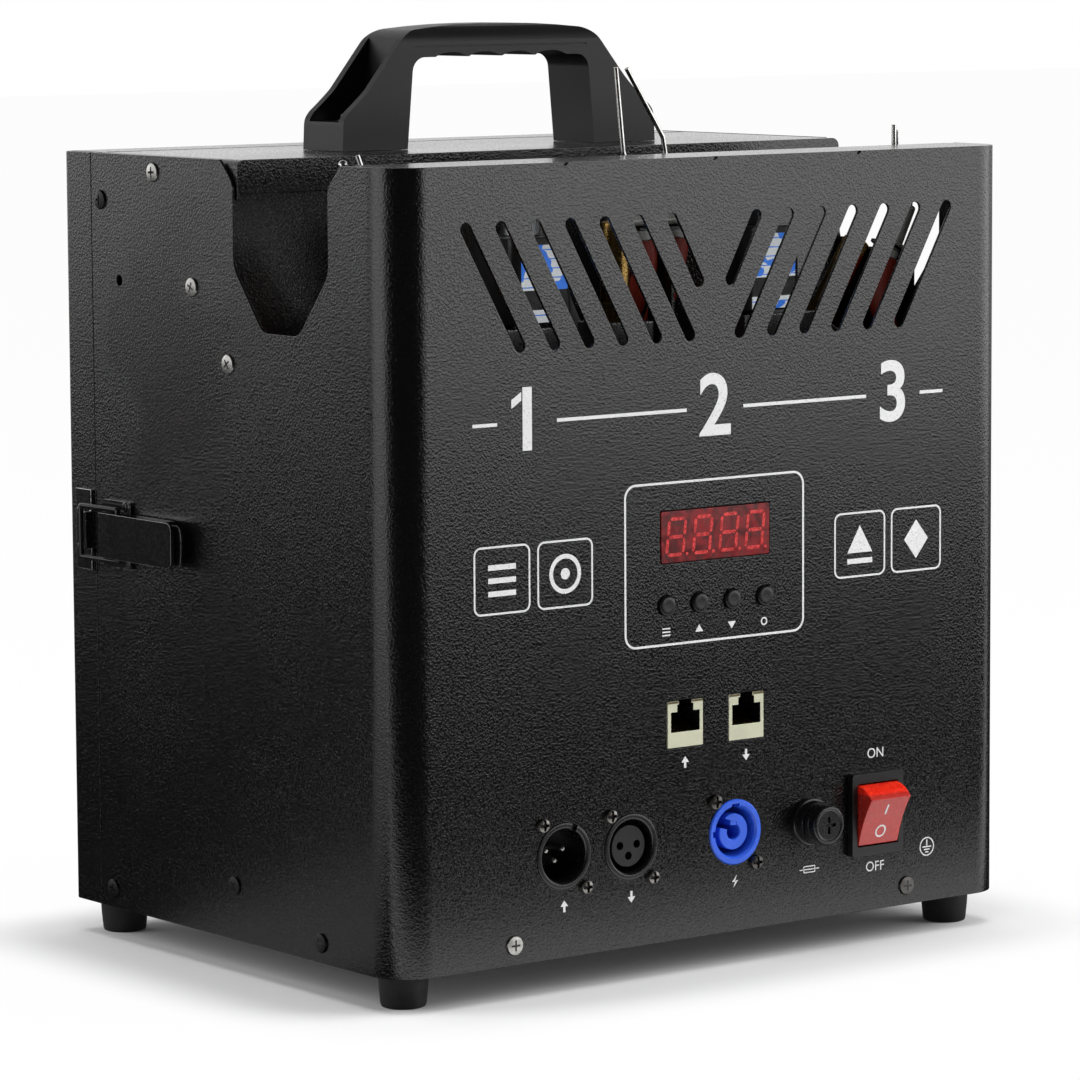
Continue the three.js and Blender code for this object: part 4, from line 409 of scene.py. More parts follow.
def heated_steel():
    """Bright electrode wire, straw and grey where the flame has touched it."""
    f = finish("electrode_steel")
    height = f.above_base()
    hot = f.between(height, 276, 312) * f.spread(f.noise(5, 2.0))
    f.surface({
        "Base Color": f.mixed(hot * 0.6, (0.60, 0.60, 0.59), (0.34, 0.30, 0.26)),
        "Metallic": 1.0,
        "Roughness": f.spread(f.noise(1.2, 2.0, stretch=(3, 3, 1)), 0.2, 0.34),
        "Normal": f.bump(f.noise(0.5, 2.0), 0.005, 0.4),
    })


def fuse_glass():
    f = finish("fuse_glass")
    along = f.behind_front()
    cap = f.falling(along, -0.2, -0.1) + f.between(along, 9.6, 9.7)
    f.surface({
        "Base Color": f.mixed(cap, (0.55, 0.62, 0.62), (0.66, 0.64, 0.6)),
        "Metallic": cap,
        "Roughness": f.spread(f.noise(2, 2.0), 0.08, 0.2),
        "Normal": f.bump(f.noise(3, 2.0), 0.01, 0.3),
    })


powder_coat()
printed_ink()
plastic("handle_plastic", (0.004, 0.004, 0.0045), 0.42, 0.6, 0.03, None, 0.33)
plastic("black_plastic", (0.005, 0.005, 0.0055), 0.28, 0.5, 0.012)
plastic("bezel_plastic", (0.0055, 0.0055, 0.006), 0.36, 0.5, 0.02)
plastic("cream_plastic", (0.53, 0.53, 0.39), 0.4, 0.7, 0.015, (0.6, 0.6, 0.47))
plastic("brown_plastic", (0.10, 0.075, 0.03), 0.4)
plastic("blue_plastic", (0.028, 0.115, 0.72), 0.38, 0.5, 0.015, (0.06, 0.2, 0.85))
# Near-black material for the screws' cross recesses: painted shade, not a colour the screws have.
plastic("painted_recess_shade", (0.003, 0.003, 0.003), 0.6)
rubber("rubber_foot")
rubber("hose_rubber", 0.016)
plastic("lead_silicone", (0.13, 0.014, 0.008), 0.5, 0.6, 0.02)
metal("zinc_steel", (0.46, 0.455, 0.43), 0.3, (0.75, 0.75, 0.73))
metal("socket_screw", (0.22, 0.21, 0.195), 0.32, (0.6, 0.59, 0.56))
metal("dark_screw", (0.11, 0.105, 0.10), 0.34, (0.4, 0.39, 0.37))
metal("black_screw", (0.035, 0.035, 0.036), 0.38, (0.2, 0.2, 0.2))
metal("supply_case", (0.5, 0.51, 0.52), 0.36, scratch=(1, 12, 1))
metal("brass", (0.72, 0.46, 0.15), 0.26, (0.9, 0.66, 0.3), tint=(0.5, 0.31, 0.1))
metal("contact_gold", (0.85, 0.6, 0.22), 0.25)
metal("core_steel", (0.36, 0.37, 0.38), 0.32, (0.7, 0.7, 0.7), scratch=(14, 14, 1))
black_steel("black_steel", 0.24, 0.009, 0.42)
# The latch finish starts lower, so its edges carry almost unbroken painted glint lines.
black_steel("latch_steel", 0.12, 0.004, 0.3)
circuit_board()
coil_wrap()
ceramic()
can_paint()
display_window()
display_segment()
rocker_red()
heated_steel()
fuse_glass()


# Shaping, in cabinet millimetres
merge_distance = 0.0005
sharp_edge_angle = math.radians(38)


def prism(corners, low, high, axis="y", segments=8):
    """A plate whose outline runs through corners of (a, b, radius), thick from low to high along an axis."""
    bm = bmesh.new()
    spread = {"x": (1, 2, 0), "y": (0, 2, 1), "z": (0, 1, 2)}[axis]
    verts = []
    for a, b, *_ in corners:
        place = [0, 0, 0]
        for index, value in zip(spread, (a, b, low)):
            place[index] = value
        verts.append(bm.verts.new(place))
    bm.faces.new(verts)
    for vert, corner in zip(verts, corners):
        if len(corner) > 2 and corner[2]:
            bmesh.ops.bevel(bm, geom=[vert], offset=corner[2], segments=segments, profile=0.5,
                            affect="VERTICES", material=-1)
    run = Vector((0, 0, 0))
    run[spread[2]] = high - low
    grown = bmesh.ops.extrude_face_region(bm, geom=bm.faces[:])
    bmesh.ops.translate(bm, verts=[v for v in grown["geom"] if isinstance(v, bmesh.types.BMVert)], vec=run)
    bmesh.ops.recalc_face_normals(bm, faces=bm.faces)
    return bm


def rectangle(a0, a1, b0, b1, radius=0):
    return [(a0, b0, radius), (a1, b0, radius), (a1, b1, radius), (a0, b1, radius)]


def centred(a, b, half_a, half_b, radius=0):
    """A rectangle round its middle."""
    return rectangle(a - half_a, a + half_a, b - half_b, b + half_b, radius)


def pan_outline(half, open_end, closed_end, bend):
    """The section of a folded pan, whose corners are round at its closed end."""
    return [(-half, open_end), (half, open_end), (half, closed_end, bend), (-half, closed_end, bend)]


def hexagon(radius, a=0, b=0):
    turns = [index * math.pi / 3 for index in range(6)]
    return [(radius * math.cos(turn) + a, radius * math.sin(turn) + b) for turn in turns]


def on_panel(x, height=socket_row):
    return Vector((x, 0, height))


def box(x0, x1, y0, y1, z0, z1):
    return prism(rectangle(x0, x1, y0, y1), z0, z1, "z")


def turned(profile, place, direction=up, steps=32):
    """A turned shape from pairs of radius and height, standing at a place and pointing along a direction."""
    bm = bmesh.new()
    verts = [bm.verts.new((radius, 0, height)) for radius, height in profile]
    edges = [bm.edges.new(pair) for pair in zip(verts, verts[1:])]
    bmesh.ops.spin(bm, geom=verts + edges, cent=(0, 0, 0), axis=(0, 0, 1), angle=2 * math.pi,
                   steps=steps, use_merge=True)
    bmesh.ops.remove_doubles(bm, verts=bm.verts, dist=merge_distance)
    bmesh.ops.recalc_face_normals(bm, faces=bm.faces)
    return moved(bm, aimed(place, direction))


def disc(radius, low, high, place, direction, steps):
    """A round plate that lies across a direction, from low to high along it."""
    return turned([(0, low), (radius, low), (radius, high), (0, high)], place, direction, steps)


def aimed(place, direction):
    return Matrix.Translation(place) @ direction.to_track_quat("Z", "Y").to_matrix().to_4x4()


def moved(bm, matrix):
    bmesh.ops.transform(bm, matrix=matrix, verts=bm.verts)
    return bm


def meshed(bm, name):
    """A mesh with the shape, which is freed."""
    mesh = bpy.data.meshes.new(name)
    bm.to_mesh(mesh)
    bm.free()
    return mesh


def linked(name, data):
    """A new object in the scene."""
    made = bpy.data.objects.new(name, data)
    bpy.context.scene.collection.objects.link(made)
    return made


def shape_of(holder):
    """The shape of an object with its modifiers or as a curve's surface."""
    bpy.context.view_layer.update()
    graph = bpy.context.evaluated_depsgraph_get()
    mesh = bpy.data.meshes.new_from_object(holder.evaluated_get(graph))
    bm = bmesh.new()
    bm.from_mesh(mesh)
    bpy.data.meshes.remove(mesh)
    return bm


def gathered(*parts, slots=None):
    """Puts several shapes in one, each with its own material number if they are given."""
    whole = bmesh.new()
    for index, part in enumerate(parts):
        if slots:
            for face in part.faces:
                face.material_index = slots[index]
        mesh = meshed(part, "part")
        whole.from_mesh(mesh)
        bpy.data.meshes.remove(mesh)
    return whole


def joined_by(body, tool, operation):
    """The body with the tool cut out of it, added to it, or kept where both are."""
    pair = [linked("shape", meshed(bm, "shape")) for bm in (body, tool)]
    step = pair[0].modifiers.new("step", "BOOLEAN")
    step.operation = operation
    step.solver = "EXACT"
    step.use_self = True
    step.object = pair[1]
    rest = shape_of(pair[0])
    for holder in pair:
        old = holder.data
        bpy.data.objects.remove(holder)
        bpy.data.meshes.remove(old)
    return rest


def carved(body, *tools):
    for tool in tools:
        body = joined_by(body, tool, "DIFFERENCE")
    return body


def softened(bm, size, angle=32, segments=2):
    """Rounds the edges that are sharper than an angle and marks the new faces, which the finishes use for
    rubbed edges and, on black steel, for painted edge glints.
    """
    bmesh.ops.remove_doubles(bm, verts=bm.verts, dist=merge_distance)
    bmesh.ops.dissolve_limit(bm, angle_limit=math.radians(1), verts=bm.verts, edges=bm.edges)
    mark = bm.faces.layers.float.get("edge") or bm.faces.layers.float.new("edge")
    sharp = [e for e in bm.edges if len(e.link_faces) == 2 and e.calc_face_angle(0) > math.radians(angle)]
    made = bmesh.ops.bevel(bm, geom=sharp, offset=size, segments=segments, profile=0.5, affect="EDGES",
                           clamp_overlap=True, material=-1)
    for face in made["faces"]:
        face[mark] = 1.0
    return bm


def piece(name, bm, body, looks, replaced=None):
    """Makes the finished object from a shape in cabinet millimetres."""
    bmesh.ops.transform(bm, matrix=cabinet, verts=bm.verts)
    for face in bm.faces:
        face.smooth = True
    for edge in bm.edges:
        edge.smooth = edge.calc_face_angle(0) < sharp_edge_angle
    mesh = meshed(bm, name)
    for look in looks if isinstance(looks, (list, tuple)) else [looks]:
        mesh.materials.append(finishes[look])
    made = linked(name, mesh)
    weigh = made.modifiers.new("even_shading", "WEIGHTED_NORMAL")
    weigh.keep_sharp = True
    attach(made, body)
    if replaced:
        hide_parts(replaced)


def refinished(look, *kept):
    """Gives CAD nodes that keep their own shape a better material."""
    for node in kept:
        for holder in nodes[node].material_slots:
            holder.material = finishes[look]


def copied(node):
    """The shape of a CAD node, merged and set back into cabinet millimetres."""
    bm = bmesh.new()
    bm.from_mesh(nodes[node].data)
    bmesh.ops.remove_doubles(bm, verts=bm.verts, dist=0.000001)
    return moved(bm, cabinet.inverted())


def dressed(node, body, look, edge):
    """Stands for a CAD node with its own shape and rounded edges."""
    piece(node + "_finished", softened(copied(node), edge), body, look, node)


def round_curve(name, radius, sides, fineness):
    """A curve without points yet that carries a round section."""
    curve = bpy.data.curves.new(name, "CURVE")
    curve.dimensions = "3D"
    curve.bevel_depth = radius
    curve.bevel_resolution = sides // 4
    curve.resolution_u = fineness
    curve.use_fill_caps = True
    return curve


def bent_wire(points, radius, bend, sides):
    """A wire through chosen points with rounded bends and closed ends."""
    points = [Vector(p) for p in points]
    way = [points[0]]
    for before, corner, after in zip(points, points[1:], points[2:]):
        near, beyond = [corner + (side - corner).normalized() * min(bend, (side - corner).length * 0.45)
                        for side in (before, after)]
        way += [near, corner, beyond]
    way.append(points[-1])
    curve = round_curve("wire", radius, sides, 6)
    line = curve.splines.new("NURBS")
    line.points.add(len(way) - 1)
    for point, place in zip(line.points, way):
        point.co = (*place, 1)
    line.order_u = 3
    line.use_endpoint_u = True
    return curve_shape(curve)


def curve_shape(curve):
    """The surface of a curve, which is removed."""
    holder = linked("curve", curve)
    bm = shape_of(holder)
    bpy.data.objects.remove(holder)
    bpy.data.curves.remove(curve)
    bmesh.ops.remove_doubles(bm, verts=bm.verts, dist=merge_distance)
    return bm


def smooth_hose(points, radius, sides):
    """A hose on one smooth way through chosen points."""
    curve = round_curve("hose", radius, sides, 8)
    line = curve.splines.new("BEZIER")
    line.bezier_points.add(len(points) - 1)
    for point, place in zip(line.bezier_points, points):
        point.co = place
        point.handle_left_type = point.handle_right_type = "AUTO"
    return curve_shape(curve)


# Camera at the photograph's place
camera_data = bpy.data.cameras.new("camera")
camera_data.sensor_width = 36
camera_data.lens = 5120.85 / 1080 * 36
camera_data.clip_start = 0.05
camera_data.clip_end = 50
camera = linked("camera", camera_data)
camera_turn = (Matrix.Rotation(-math.radians(37.2459), 4, "Z")
               @ Matrix.Rotation(math.radians(90 - 6.7147), 4, "X")
               @ Matrix.Rotation(math.radians(-0.3351), 4, "Z"))
camera.matrix_world = Matrix.Translation(cabinet @ Vector((-1149.72, -1408.68, 357.44))) @ camera_turn
bpy.context.scene.camera = camera

# Sheet metal
slot_places = [(side * (34.3 + 15.1 * index), side * (34.3 + 15.1 * index - 22.9), 62.8)
               for side in (-1, 1) for index in range(6)]
slot_places += [(side * 19.2, side * (19.2 - 11.9), 43.8) for side in (-1, 1)]
button_xs = [(index - 1.5) * 15.05 for index in range(4)]
jack_xs = [-14.1, 14.1]
socket_xs = {"data_inlet": -68.9, "data_outlet": -38.8, "power_inlet": 8.9}
fuse_x, rocker_x = 44, 74.6


def vent_slot(top_x, low_x, low_drop):
    """A cutter with round ends that leans from its top to its foot."""
    half_slot = 2.3
    start = Vector((top_x, 0, cabinet_height - 21.8))
    end = Vector((low_x, 0, cabinet_height - low_drop))
    run = end - start
    reach = run.length / 2 + half_slot
    bar = prism(rectangle(-half_slot, half_slot, -reach, reach, half_slot - 0.01), -4, 4, "y", 8)
    lean = math.atan2(run.x, run.z)
    return moved(bar, Matrix.Translation((start + end) / 2) @ Matrix.Rotation(lean, 4, "Y"))


def round_hole(x, height, radius, steps=32):
    return disc(radius, -4, 4, on_panel(x, height), back, steps)


def front_shell():
    inner, bend = half_width - sheet, 15
    body = prism(pan_outline(half_width, shell_rear, 0, bend), 0, cabinet_height, "z", 16)
    hollow = prism(pan_outline(inner, shell_rear - sheet, sheet, bend - sheet),
                   -5, cabinet_height - sheet, "z", 16)
    above_flange = prism([(-inner, shell_rear - sheet), (inner, shell_rear - sheet), (inner, 26),
                          (129, 34), (-129, 34), (-inner, 26)], cabinet_height - 8, cabinet_height + 5, "z")
    between_returns = box(-129, 129, shell_rear - 3, shell_rear + 5, -5, cabinet_height + 5)
    body = carved(body, hollow, above_flange, between_returns)
    notch = prism([(29.8, 290), (29.8, 280), (37.8, 272, 3), (37.8, 242, 3), (56, 219.9, 3),
                   (78.5, 219.9, 3), (96.3, 242, 3), (96.3, 272, 3), (104.3, 280), (104.3, 290)],
                  -160, 160, "x", 6)
    openings = [vent_slot(*place) for place in slot_places]
    openings += [round_hole(x, button_row, 3.9) for x in button_xs]
    openings += [round_hole(x, socket_row, 12.1, 48) for x in socket_xs.values()]
    openings += [prism(rectangle(x - 8.35, x + 8.35, 69.6, 87.0, 0.4), -4, 4) for x in jack_xs]
    openings.append(prism(rectangle(-25.2, 25.2, 136.2, 155.2, 0.5), -4, 4))
    openings.append(prism(rectangle(rocker_x - 11.3, rocker_x + 11.3, 22.6, 50.2), -4, 4))
    for side in (left, right):
        openings.append(disc(2, -4, 4, Vector((side.x * half_width, 170.9, 233.8)), side, 24))
    for index in range(5):
        x = (index - 2) * 67
        openings.append(prism([(x - 1.7, 280.5), (x - 1.2, 279.2, 0.4), (x, 278.7, 0.4),
                               (x + 1.2, 279.2, 0.4), (x + 1.7, 280.5)], -3, 0.9, "y", 3))
    body = carved(body, notch, gathered(*openings))
    piece("shell_sheet", softened(body, 0.28), "cabinet", "powder_coat", "front_shell")


def top_lid():
    outer, top, bend, lid_front = 139.5, cabinet_height, 3, 95.2
    inner, under_top = outer - sheet, top - sheet
    arch = prism(pan_outline(outer, 266, top, bend), lid_front, 187.5, "y", 8)
    under = prism(pan_outline(inner, 262, under_top, bend - sheet), lid_front + sheet, 192, "y", 8)
    below_lip = box(-inner, inner, 90, 98, 262, 268)
    body = carved(arch, under, below_lip)
    shelf = box(-136.5, 136.5, 184, 206.5, under_top, top)
    ears = [box(x0, x1, 173.5, 187.5, 256, 267) for x0, x1 in ((-outer, -inner), (inner, outer))]
    piece("lid_sheet", gathered(softened(body, 0.28), softened(shelf, 0.28), *ears), "cabinet",
          "powder_coat", "top_lid")


def rear_door():
    inner, bend = half_width - sheet, 3
    pan = prism(pan_outline(half_width, door_front, cabinet_depth, bend), 0, cabinet_height, "z", 8)
    hollow = prism(pan_outline(inner, door_front - 3, cabinet_depth - sheet, bend - sheet),
                   -5, cabinet_height + 5, "z", 6)
    piece("door_pan", softened(carved(pan, hollow), 0.28), "rear_door", "powder_coat",
          "rear_door")


front_shell()
top_lid()
rear_door()


# Screws with a cross recess
def cross_screw(place, outwards, radius=3.5, height=0.9, crown=0.45, arm=0.38):
    """A pan head screw whose cross recess takes a near-black material, painted shade in the recess."""
    head = turned([(0, -0.2), (radius, -0.2), (radius, height * 0.35), (radius * 0.93, height * 0.72),
                   (radius * 0.6, height * 0.96), (0, height)], origin, up, 32)
    reach = radius * crown * 1.25
    depth = height * 0.75
    cross = gathered(
        prism(rectangle(-reach, reach, -arm, arm, 0.15), height - depth, height + 1, "z", 3),
        prism(rectangle(-arm, arm, -reach, reach, 0.15), height - depth, height + 1, "z", 3))
    flare = turned([(0, height - depth), (arm * 1.1, height - depth), (arm * 2.1, height + 0.1),
                    (0, height + 0.1)], origin, up, 8)
    body = carved(head, cross, flare)
    # Faces inside the cross recess take material 1, the near-black one: painted shade in the recess.
    for face in body.faces:
        centre = face.calc_center_median()
        if centre.z < height * 0.9 and Vector((centre.x, centre.y)).length < reach * 1.02 and (
                abs(face.normal.z) < 0.5 or centre.z < height - depth + 0.05) and centre.z > 0.02:
            face.material_index = 1
    return moved(body, aimed(place, outwards))


def screws():
    silver = [(147.3, 274), (122.7, 233.8), (100, 207.6)]
    black = [(182.7, 262.9), (180.8, 7.2), (100, 19.8), (46.1, 7.2)]
    for side, outwards in (("left", left), ("right", right)):
        x = outwards.x * (half_width + 0.1)
        for name, places, look in (("silver", silver, "zinc_steel"), ("black", black, "black_screw")):
            for index, (depth, height) in enumerate(places, 1):
                turn = Matrix.Rotation(0.5 + 1.1 * index, 4, "Z")
                shape = moved(cross_screw(origin, up), aimed(Vector((x, depth, height)), outwards) @ turn)
                piece(f"side_screw_{name}_{side}_{index}", shape, "cabinet", [look, "painted_recess_shade"])
    for side, x in (("left", -91), ("right", 91)):
        piece(f"panel_screw_{side}", cross_screw(Vector((x, -0.1, 7.2)), front), "cabinet",
              ["zinc_steel" if x < 0 else "dark_screw", "painted_recess_shade"])
    for name, x in socket_xs.items():
        look, radius = ("dark_screw", 2.75) if name == "power_inlet" else ("socket_screw", 2.5)
        for index, (across, rise) in enumerate(((-9.5, 12), (9.5, -12)), 1):
            place = Vector((x + across, -0.1, socket_row + rise))
            shape = cross_screw(place, front, radius, 1.8, 0.62, 0.5)
            piece(f"{name}_screw_{index}", shape, "cabinet", [look, "painted_recess_shade"])


screws()


# Feet, tray and partition
def feet():
    places = {"front_left": (-126, 18), "front_right": (126, 18), "rear_left": (-126, 197.4),
              "rear_right": (126, 197.4)}
    floor = -12.5
    profile = [(4.9, 7), (5, 0.4), (5.4, 0), (7.0, 0), (7.8, 0.3), (8.1, 1.2), (8.55, 6), (8.6, 6.3),
               (8.62, 6.6), (8.9, 11.4), (8.9, 12), (8.6, 12.4), (1.9, 12.4), (1.9, 7), (4.9, 7)]
    for name, (x, depth) in places.items():
        foot = turned(profile, Vector((x, depth, floor)), up, 40)
        piece("foot_rubber_" + name, foot, "cabinet", "rubber_foot", "foot_" + name)
        head = cross_screw(Vector((x, depth, floor + 6.9)), down, 3.5, 1.7, 0.45, 0.45)
        piece("foot_screw_" + name, head, "cabinet", ["dark_screw", "painted_recess_shade"])


feet()
refinished("powder_coat", "base_tray", "partition_wall", "nozzle_deck", "can_rack")


# Carry handle
def carry_handle():
    base, half_grip = cabinet_height + 0.1, 12.7
    near_side, far_side = handle_depth - half_grip, handle_depth + half_grip
    outer_half = [(72.8, 0), (72.3, 10.5, 1.5), (71, 13.2, 2), (61.8, 20.6, 8), (54, 30, 10),
                  (43, 43.4, 5), (22, 45.3, 8)]
    other_half = [(-a, *rest) for a, *rest in reversed(outer_half)]
    outline = [*outer_half, (0, 45.8, 8), *other_half,
               (-43.5, 0), (-40.5, 33.6, 5), (40.5, 33.6, 5), (43.5, 0)]
    shape = prism(outline, near_side, far_side, "y", 6)
    crown = prism([(near_side, -5), (far_side, -5), (far_side, 46.2, 8), (near_side, 46.2, 8)],
                  -80, 80, "x", 10)
    shape = joined_by(shape, crown, "INTERSECT")
    tools = []
    for index in range(4):
        x = (index - 1.5) * 15.4
        tools.append(prism([(x - 7.6, 31), (x + 7.6, 31), (x + 7.6, 33.5), (x + 5.2, 34.7, 3), (x, 35.6, 6),
                            (x - 5.2, 34.7, 3), (x - 7.6, 33.5)], 120, 156, "y", 6))
    for side in (-1, 1):
        end_pocket = [(side * 47.5, 10.5, 1.5), (side * 80, 10.5), (side * 80, 50), (side * 44.2, 50)]
        tools.append(prism(end_pocket, handle_depth - 9.3, handle_depth + 9.3, "y", 6))
        seam = sorted((handle_depth + side * 12.4, handle_depth + side * 13))
        tools.append(prism(rectangle(-40, 40, 37.3, 37.75), *seam, "y"))
    shape = carved(shape, *tools)
    shape = softened(shape, 0.7, 34, 3)
    piece("handle_moulding", moved(shape, Matrix.Translation((0, 0, base))), "cabinet", "handle_plastic",
          "carry_handle")
    for name, x in (("left", -60), ("right", 60)):
        nut = prism(hexagon(4.4), 0, 2.6, "z")
        stud = turned([(0, 0), (2.3, 0), (2.3, 3.2), (1.9, 3.6), (0, 3.6)], origin, up, 20)
        washer = disc(5.2, -0.1, 0.5, origin, up, 28)
        shape = gathered(softened(nut, 0.3), stud, washer)
        piece("handle_nut_" + name, moved(shape, Matrix.Translation((x, handle_depth, base + 10.5))),
              "cabinet", "zinc_steel")


carry_handle()

# Hinges and latch
for end in ("lower", "upper"):
    dressed("hinge_cabinet_leaf_" + end, "cabinet", "black_steel", 0.2)
    dressed("hinge_pin_" + end, "cabinet", "zinc_steel", 0.12)
    dressed("hinge_door_leaf_" + end, "rear_door", "black_steel", 0.2)
dressed("latch_base", "cabinet", "latch_steel", 0.25)
dressed("catch_plate", "rear_door", "latch_steel", 0.25)


def latch_lever():
    """The lever with a rounded front end over a finger tongue that lies nearer the cabinet."""
    lever = carved(copied("latch_lever"), box(-155, -140, 110, 134, latch_middle - 12, latch_middle + 12))
    front_end = prism([(127.6, latch_middle - 8.2, 2.8), (134.4, latch_middle - 8.2),
                       (134.4, latch_middle + 8.2), (127.6, latch_middle + 8.2, 2.8)],
                      -148.6, -147.4, "x", 5)
    tongue = prism([(136, latch_middle - 7.2), (136, latch_middle + 7.2), (126.4, latch_middle + 7.2, 2),
                    (124.4, latch_middle, 12), (126.4, latch_middle - 7.2, 2)], -145.6, -144.6, "x", 5)
    lever = joined_by(lever, front_end, "UNION")
    lever = joined_by(lever, tongue, "UNION")
    piece("lever_body", softened(lever, 0.3), "latch_lever", "latch_steel", "latch_lever")


latch_lever()


def latch_bail():
    pivot_x, cross_x = -145.2, -146.4
    middle, arm, stub = latch_middle, 9.5, 6.7
    wire = bent_wire([(pivot_x, 168, middle - stub), (pivot_x, 168, middle - arm),
                      (cross_x, 191.2, middle - arm), (cross_x, 191.2, middle + arm),
                      (pivot_x, 168, middle + arm), (pivot_x, 168, middle + stub)], 1.0, 1.2, 12)
    piece("bail_wire", wire, "latch_bail", "latch_steel", "latch_bail")


latch_bail()


# Display and buttons
def display():
    window = softened(prism(rectangle(-24.9, 24.9, 136.5, 154.9, 0.6), -0.3, 8, "y", 3), 0.15)
    digits = []
    wide, tall, thick, slant = 3.7, 6.4, 1.25, 0.11
    for index in range(4):
        centre = Vector(((index - 1.5) * 12.1, 0, 145.7))
        bars = [((0, z), "flat") for z in (-tall, 0, tall)]
        bars += [((side * wide, z), "tall") for side in (-1, 1) for z in (-tall / 2, tall / 2)]
        for (x, z), kind in bars:
            long = (wide if kind == "flat" else tall / 2) - 0.45
            end = thick / 2
            outline = [(-long, 0), (-long + end, -end), (long - end, -end), (long, 0), (long - end, end),
                       (-long + end, end)]
            if kind == "tall":
                outline = [(b, a) for a, b in outline]
            corners = [(centre.x + x + a + slant * (z + b), centre.z + z + b) for a, b in outline]
            digits.append(prism(corners, -0.34, -0.2))
        dot = centre + Vector((wide + 1.9 - slant * tall, 0, -tall))
        digits.append(disc(0.62, 0.2, 0.34, on_panel(dot.x, dot.z), front, 16))
    shape = gathered(window, *digits, slots=[0] + [1] * len(digits))
    piece("display_filter", shape, "cabinet", ["display_red", "display_segments"],
          "display_module")


def buttons():
    for name, x in zip(("button_menu", "button_up", "button_down", "button_enter"), button_xs):
        cap = turned([(0, -6.3), (1.75, -6.3), (1.75, -2.3), (4.8, -2.3), (4.8, -1.3), (3.5, -1.3),
                      (3.5, 0.9), (3.35, 1.25), (3.0, 1.45), (2.2, 1.5), (1.6, 1.46), (0, 1.42)],
                     on_panel(x, button_row), front, 32)
        piece(name + "_cap", cap, name, "bezel_plastic", name)


display()
buttons()
refinished("circuit_board", "control_board", "data_board")


# Network jacks
def network_jack(node, x):
    base = jack_base
    body = prism(rectangle(x - 8.05, x + 8.05, base, base + 16.8, 0.3), -0.25, 21, "y", 3)
    opening = prism([(x - 6.55, base + 5.5), (x + 6.55, base + 5.5), (x + 6.55, base + 12.8),
                     (x + 3.65, base + 12.8), (x + 3.65, base + 15.5), (x + 2.9, base + 15.5),
                     (x + 2.9, base + 20), (x - 2.9, base + 20), (x - 2.9, base + 15.5),
                     (x - 3.65, base + 15.5), (x - 3.65, base + 12.8), (x - 6.55, base + 12.8)],
                    -3, 15, "y")
    housing = softened(carved(body, opening), 0.15)
    # The walls inside the opening, deeper than 0.9 mm, take the black plastic: painted shade inside the
    # jack.
    for face in housing.faces:
        centre = face.calc_center_median()
        if centre.y > 0.9 and abs(centre.x - x) < 7.9:
            face.material_index = 1
    strips = [box(x + x0, x + x1, -0.32, 0.2, base + 15.9, base + 16.75)
              for x0, x1 in ((-7.9, -3.1), (3.1, 7.9))]
    contact_xs = [x + (index - 3.5) * 1.27 for index in range(8)]
    contacts = [bent_wire([(across, 1.8, base + 5.7), (across, 9, base + 9.2), (across, 12.5, base + 9.6)],
                          0.22, 0.8, 8) for across in contact_xs]
    shape = gathered(housing, *strips)
    for face in shape.faces:
        centre = face.calc_center_median()
        if centre.y < -0.26 and centre.z > base + 15.8 and abs(centre.x - x) > 3.05:
            face.material_index = 2
    piece(node + "_housing", shape, "cabinet", ["cream_plastic", "black_plastic", "brown_plastic"],
          node)
    piece(node + "_contacts", gathered(*contacts), "cabinet", "contact_gold")


network_jack("network_jack_in", jack_xs[0])
network_jack("network_jack_out", jack_xs[1])


# Round sockets
def socket_flange(x):
    plate = prism(centred(x, socket_row, 13, 15.5, 2), 1.3, 3.3, "y", 4)
    return softened(carved(plate, round_hole(x, socket_row, 10.9, 48)), 0.2)


def socket_ring(x, inner, depth, proud=0.35):
    return turned([(inner, -depth), (inner, -0.5), (inner + 0.35, 0.1), (inner + 0.9, proud), (11.5, proud),
                   (11.9, proud * 0.4), (11.95, -0.2), (11.0, -1.3), (11.0, -21), (0, -21), (0, -depth),
                   (inner, -depth)], on_panel(x), front, 64)


def pin_places(x, rise):
    """Two contacts side by side over a third one."""
    return [Vector((x + across, 0, socket_row + rise - drop))
            for across, drop in ((-3.8, 0), (3.8, 0), (0, 3.9))]


def data_inlet():
    x = socket_xs["data_inlet"]
    ring = socket_ring(x, 9.5, 13)
    gap = prism(rectangle(-1.3, 1.3, 8.6, 13), -3, 0.9)
    gap = moved(gap, Matrix.Translation((x, 0, socket_row)) @ Matrix.Rotation(math.radians(24), 4, "Y"))
    piece("data_inlet_ring", gathered(carved(ring, gap), socket_flange(x)), "cabinet", "black_plastic",
          "data_inlet")
    pins = [turned([(0, -1), (1.2, -1), (1.2, 6.4), (1.12, 7.1), (0.85, 7.7), (0.45, 7.95), (0, 8)],
                   place + Vector((0, 13, 0)), front, 20) for place in pin_places(x, 1.5)]
    piece("data_inlet_pins", gathered(*pins), "cabinet", "zinc_steel")


def data_outlet():
    x = socket_xs["data_outlet"]
    ring = socket_ring(x, 9.5, 13)
    insert = turned([(0, -13.2), (7.6, -13.2), (7.6, -2.0), (7.35, -1.65), (0, -1.6)],
                    on_panel(x), front, 48)
    holes = [disc(1.5, -9, 2, place, front, 20) for place in pin_places(x, 0.4)]
    insert = softened(carved(insert, gathered(*holes)), 0.15)
    piece("data_outlet_ring", gathered(ring, insert, socket_flange(x), slots=[0, 1, 0]), "cabinet",
          ["black_plastic", "bezel_plastic"], "data_outlet")


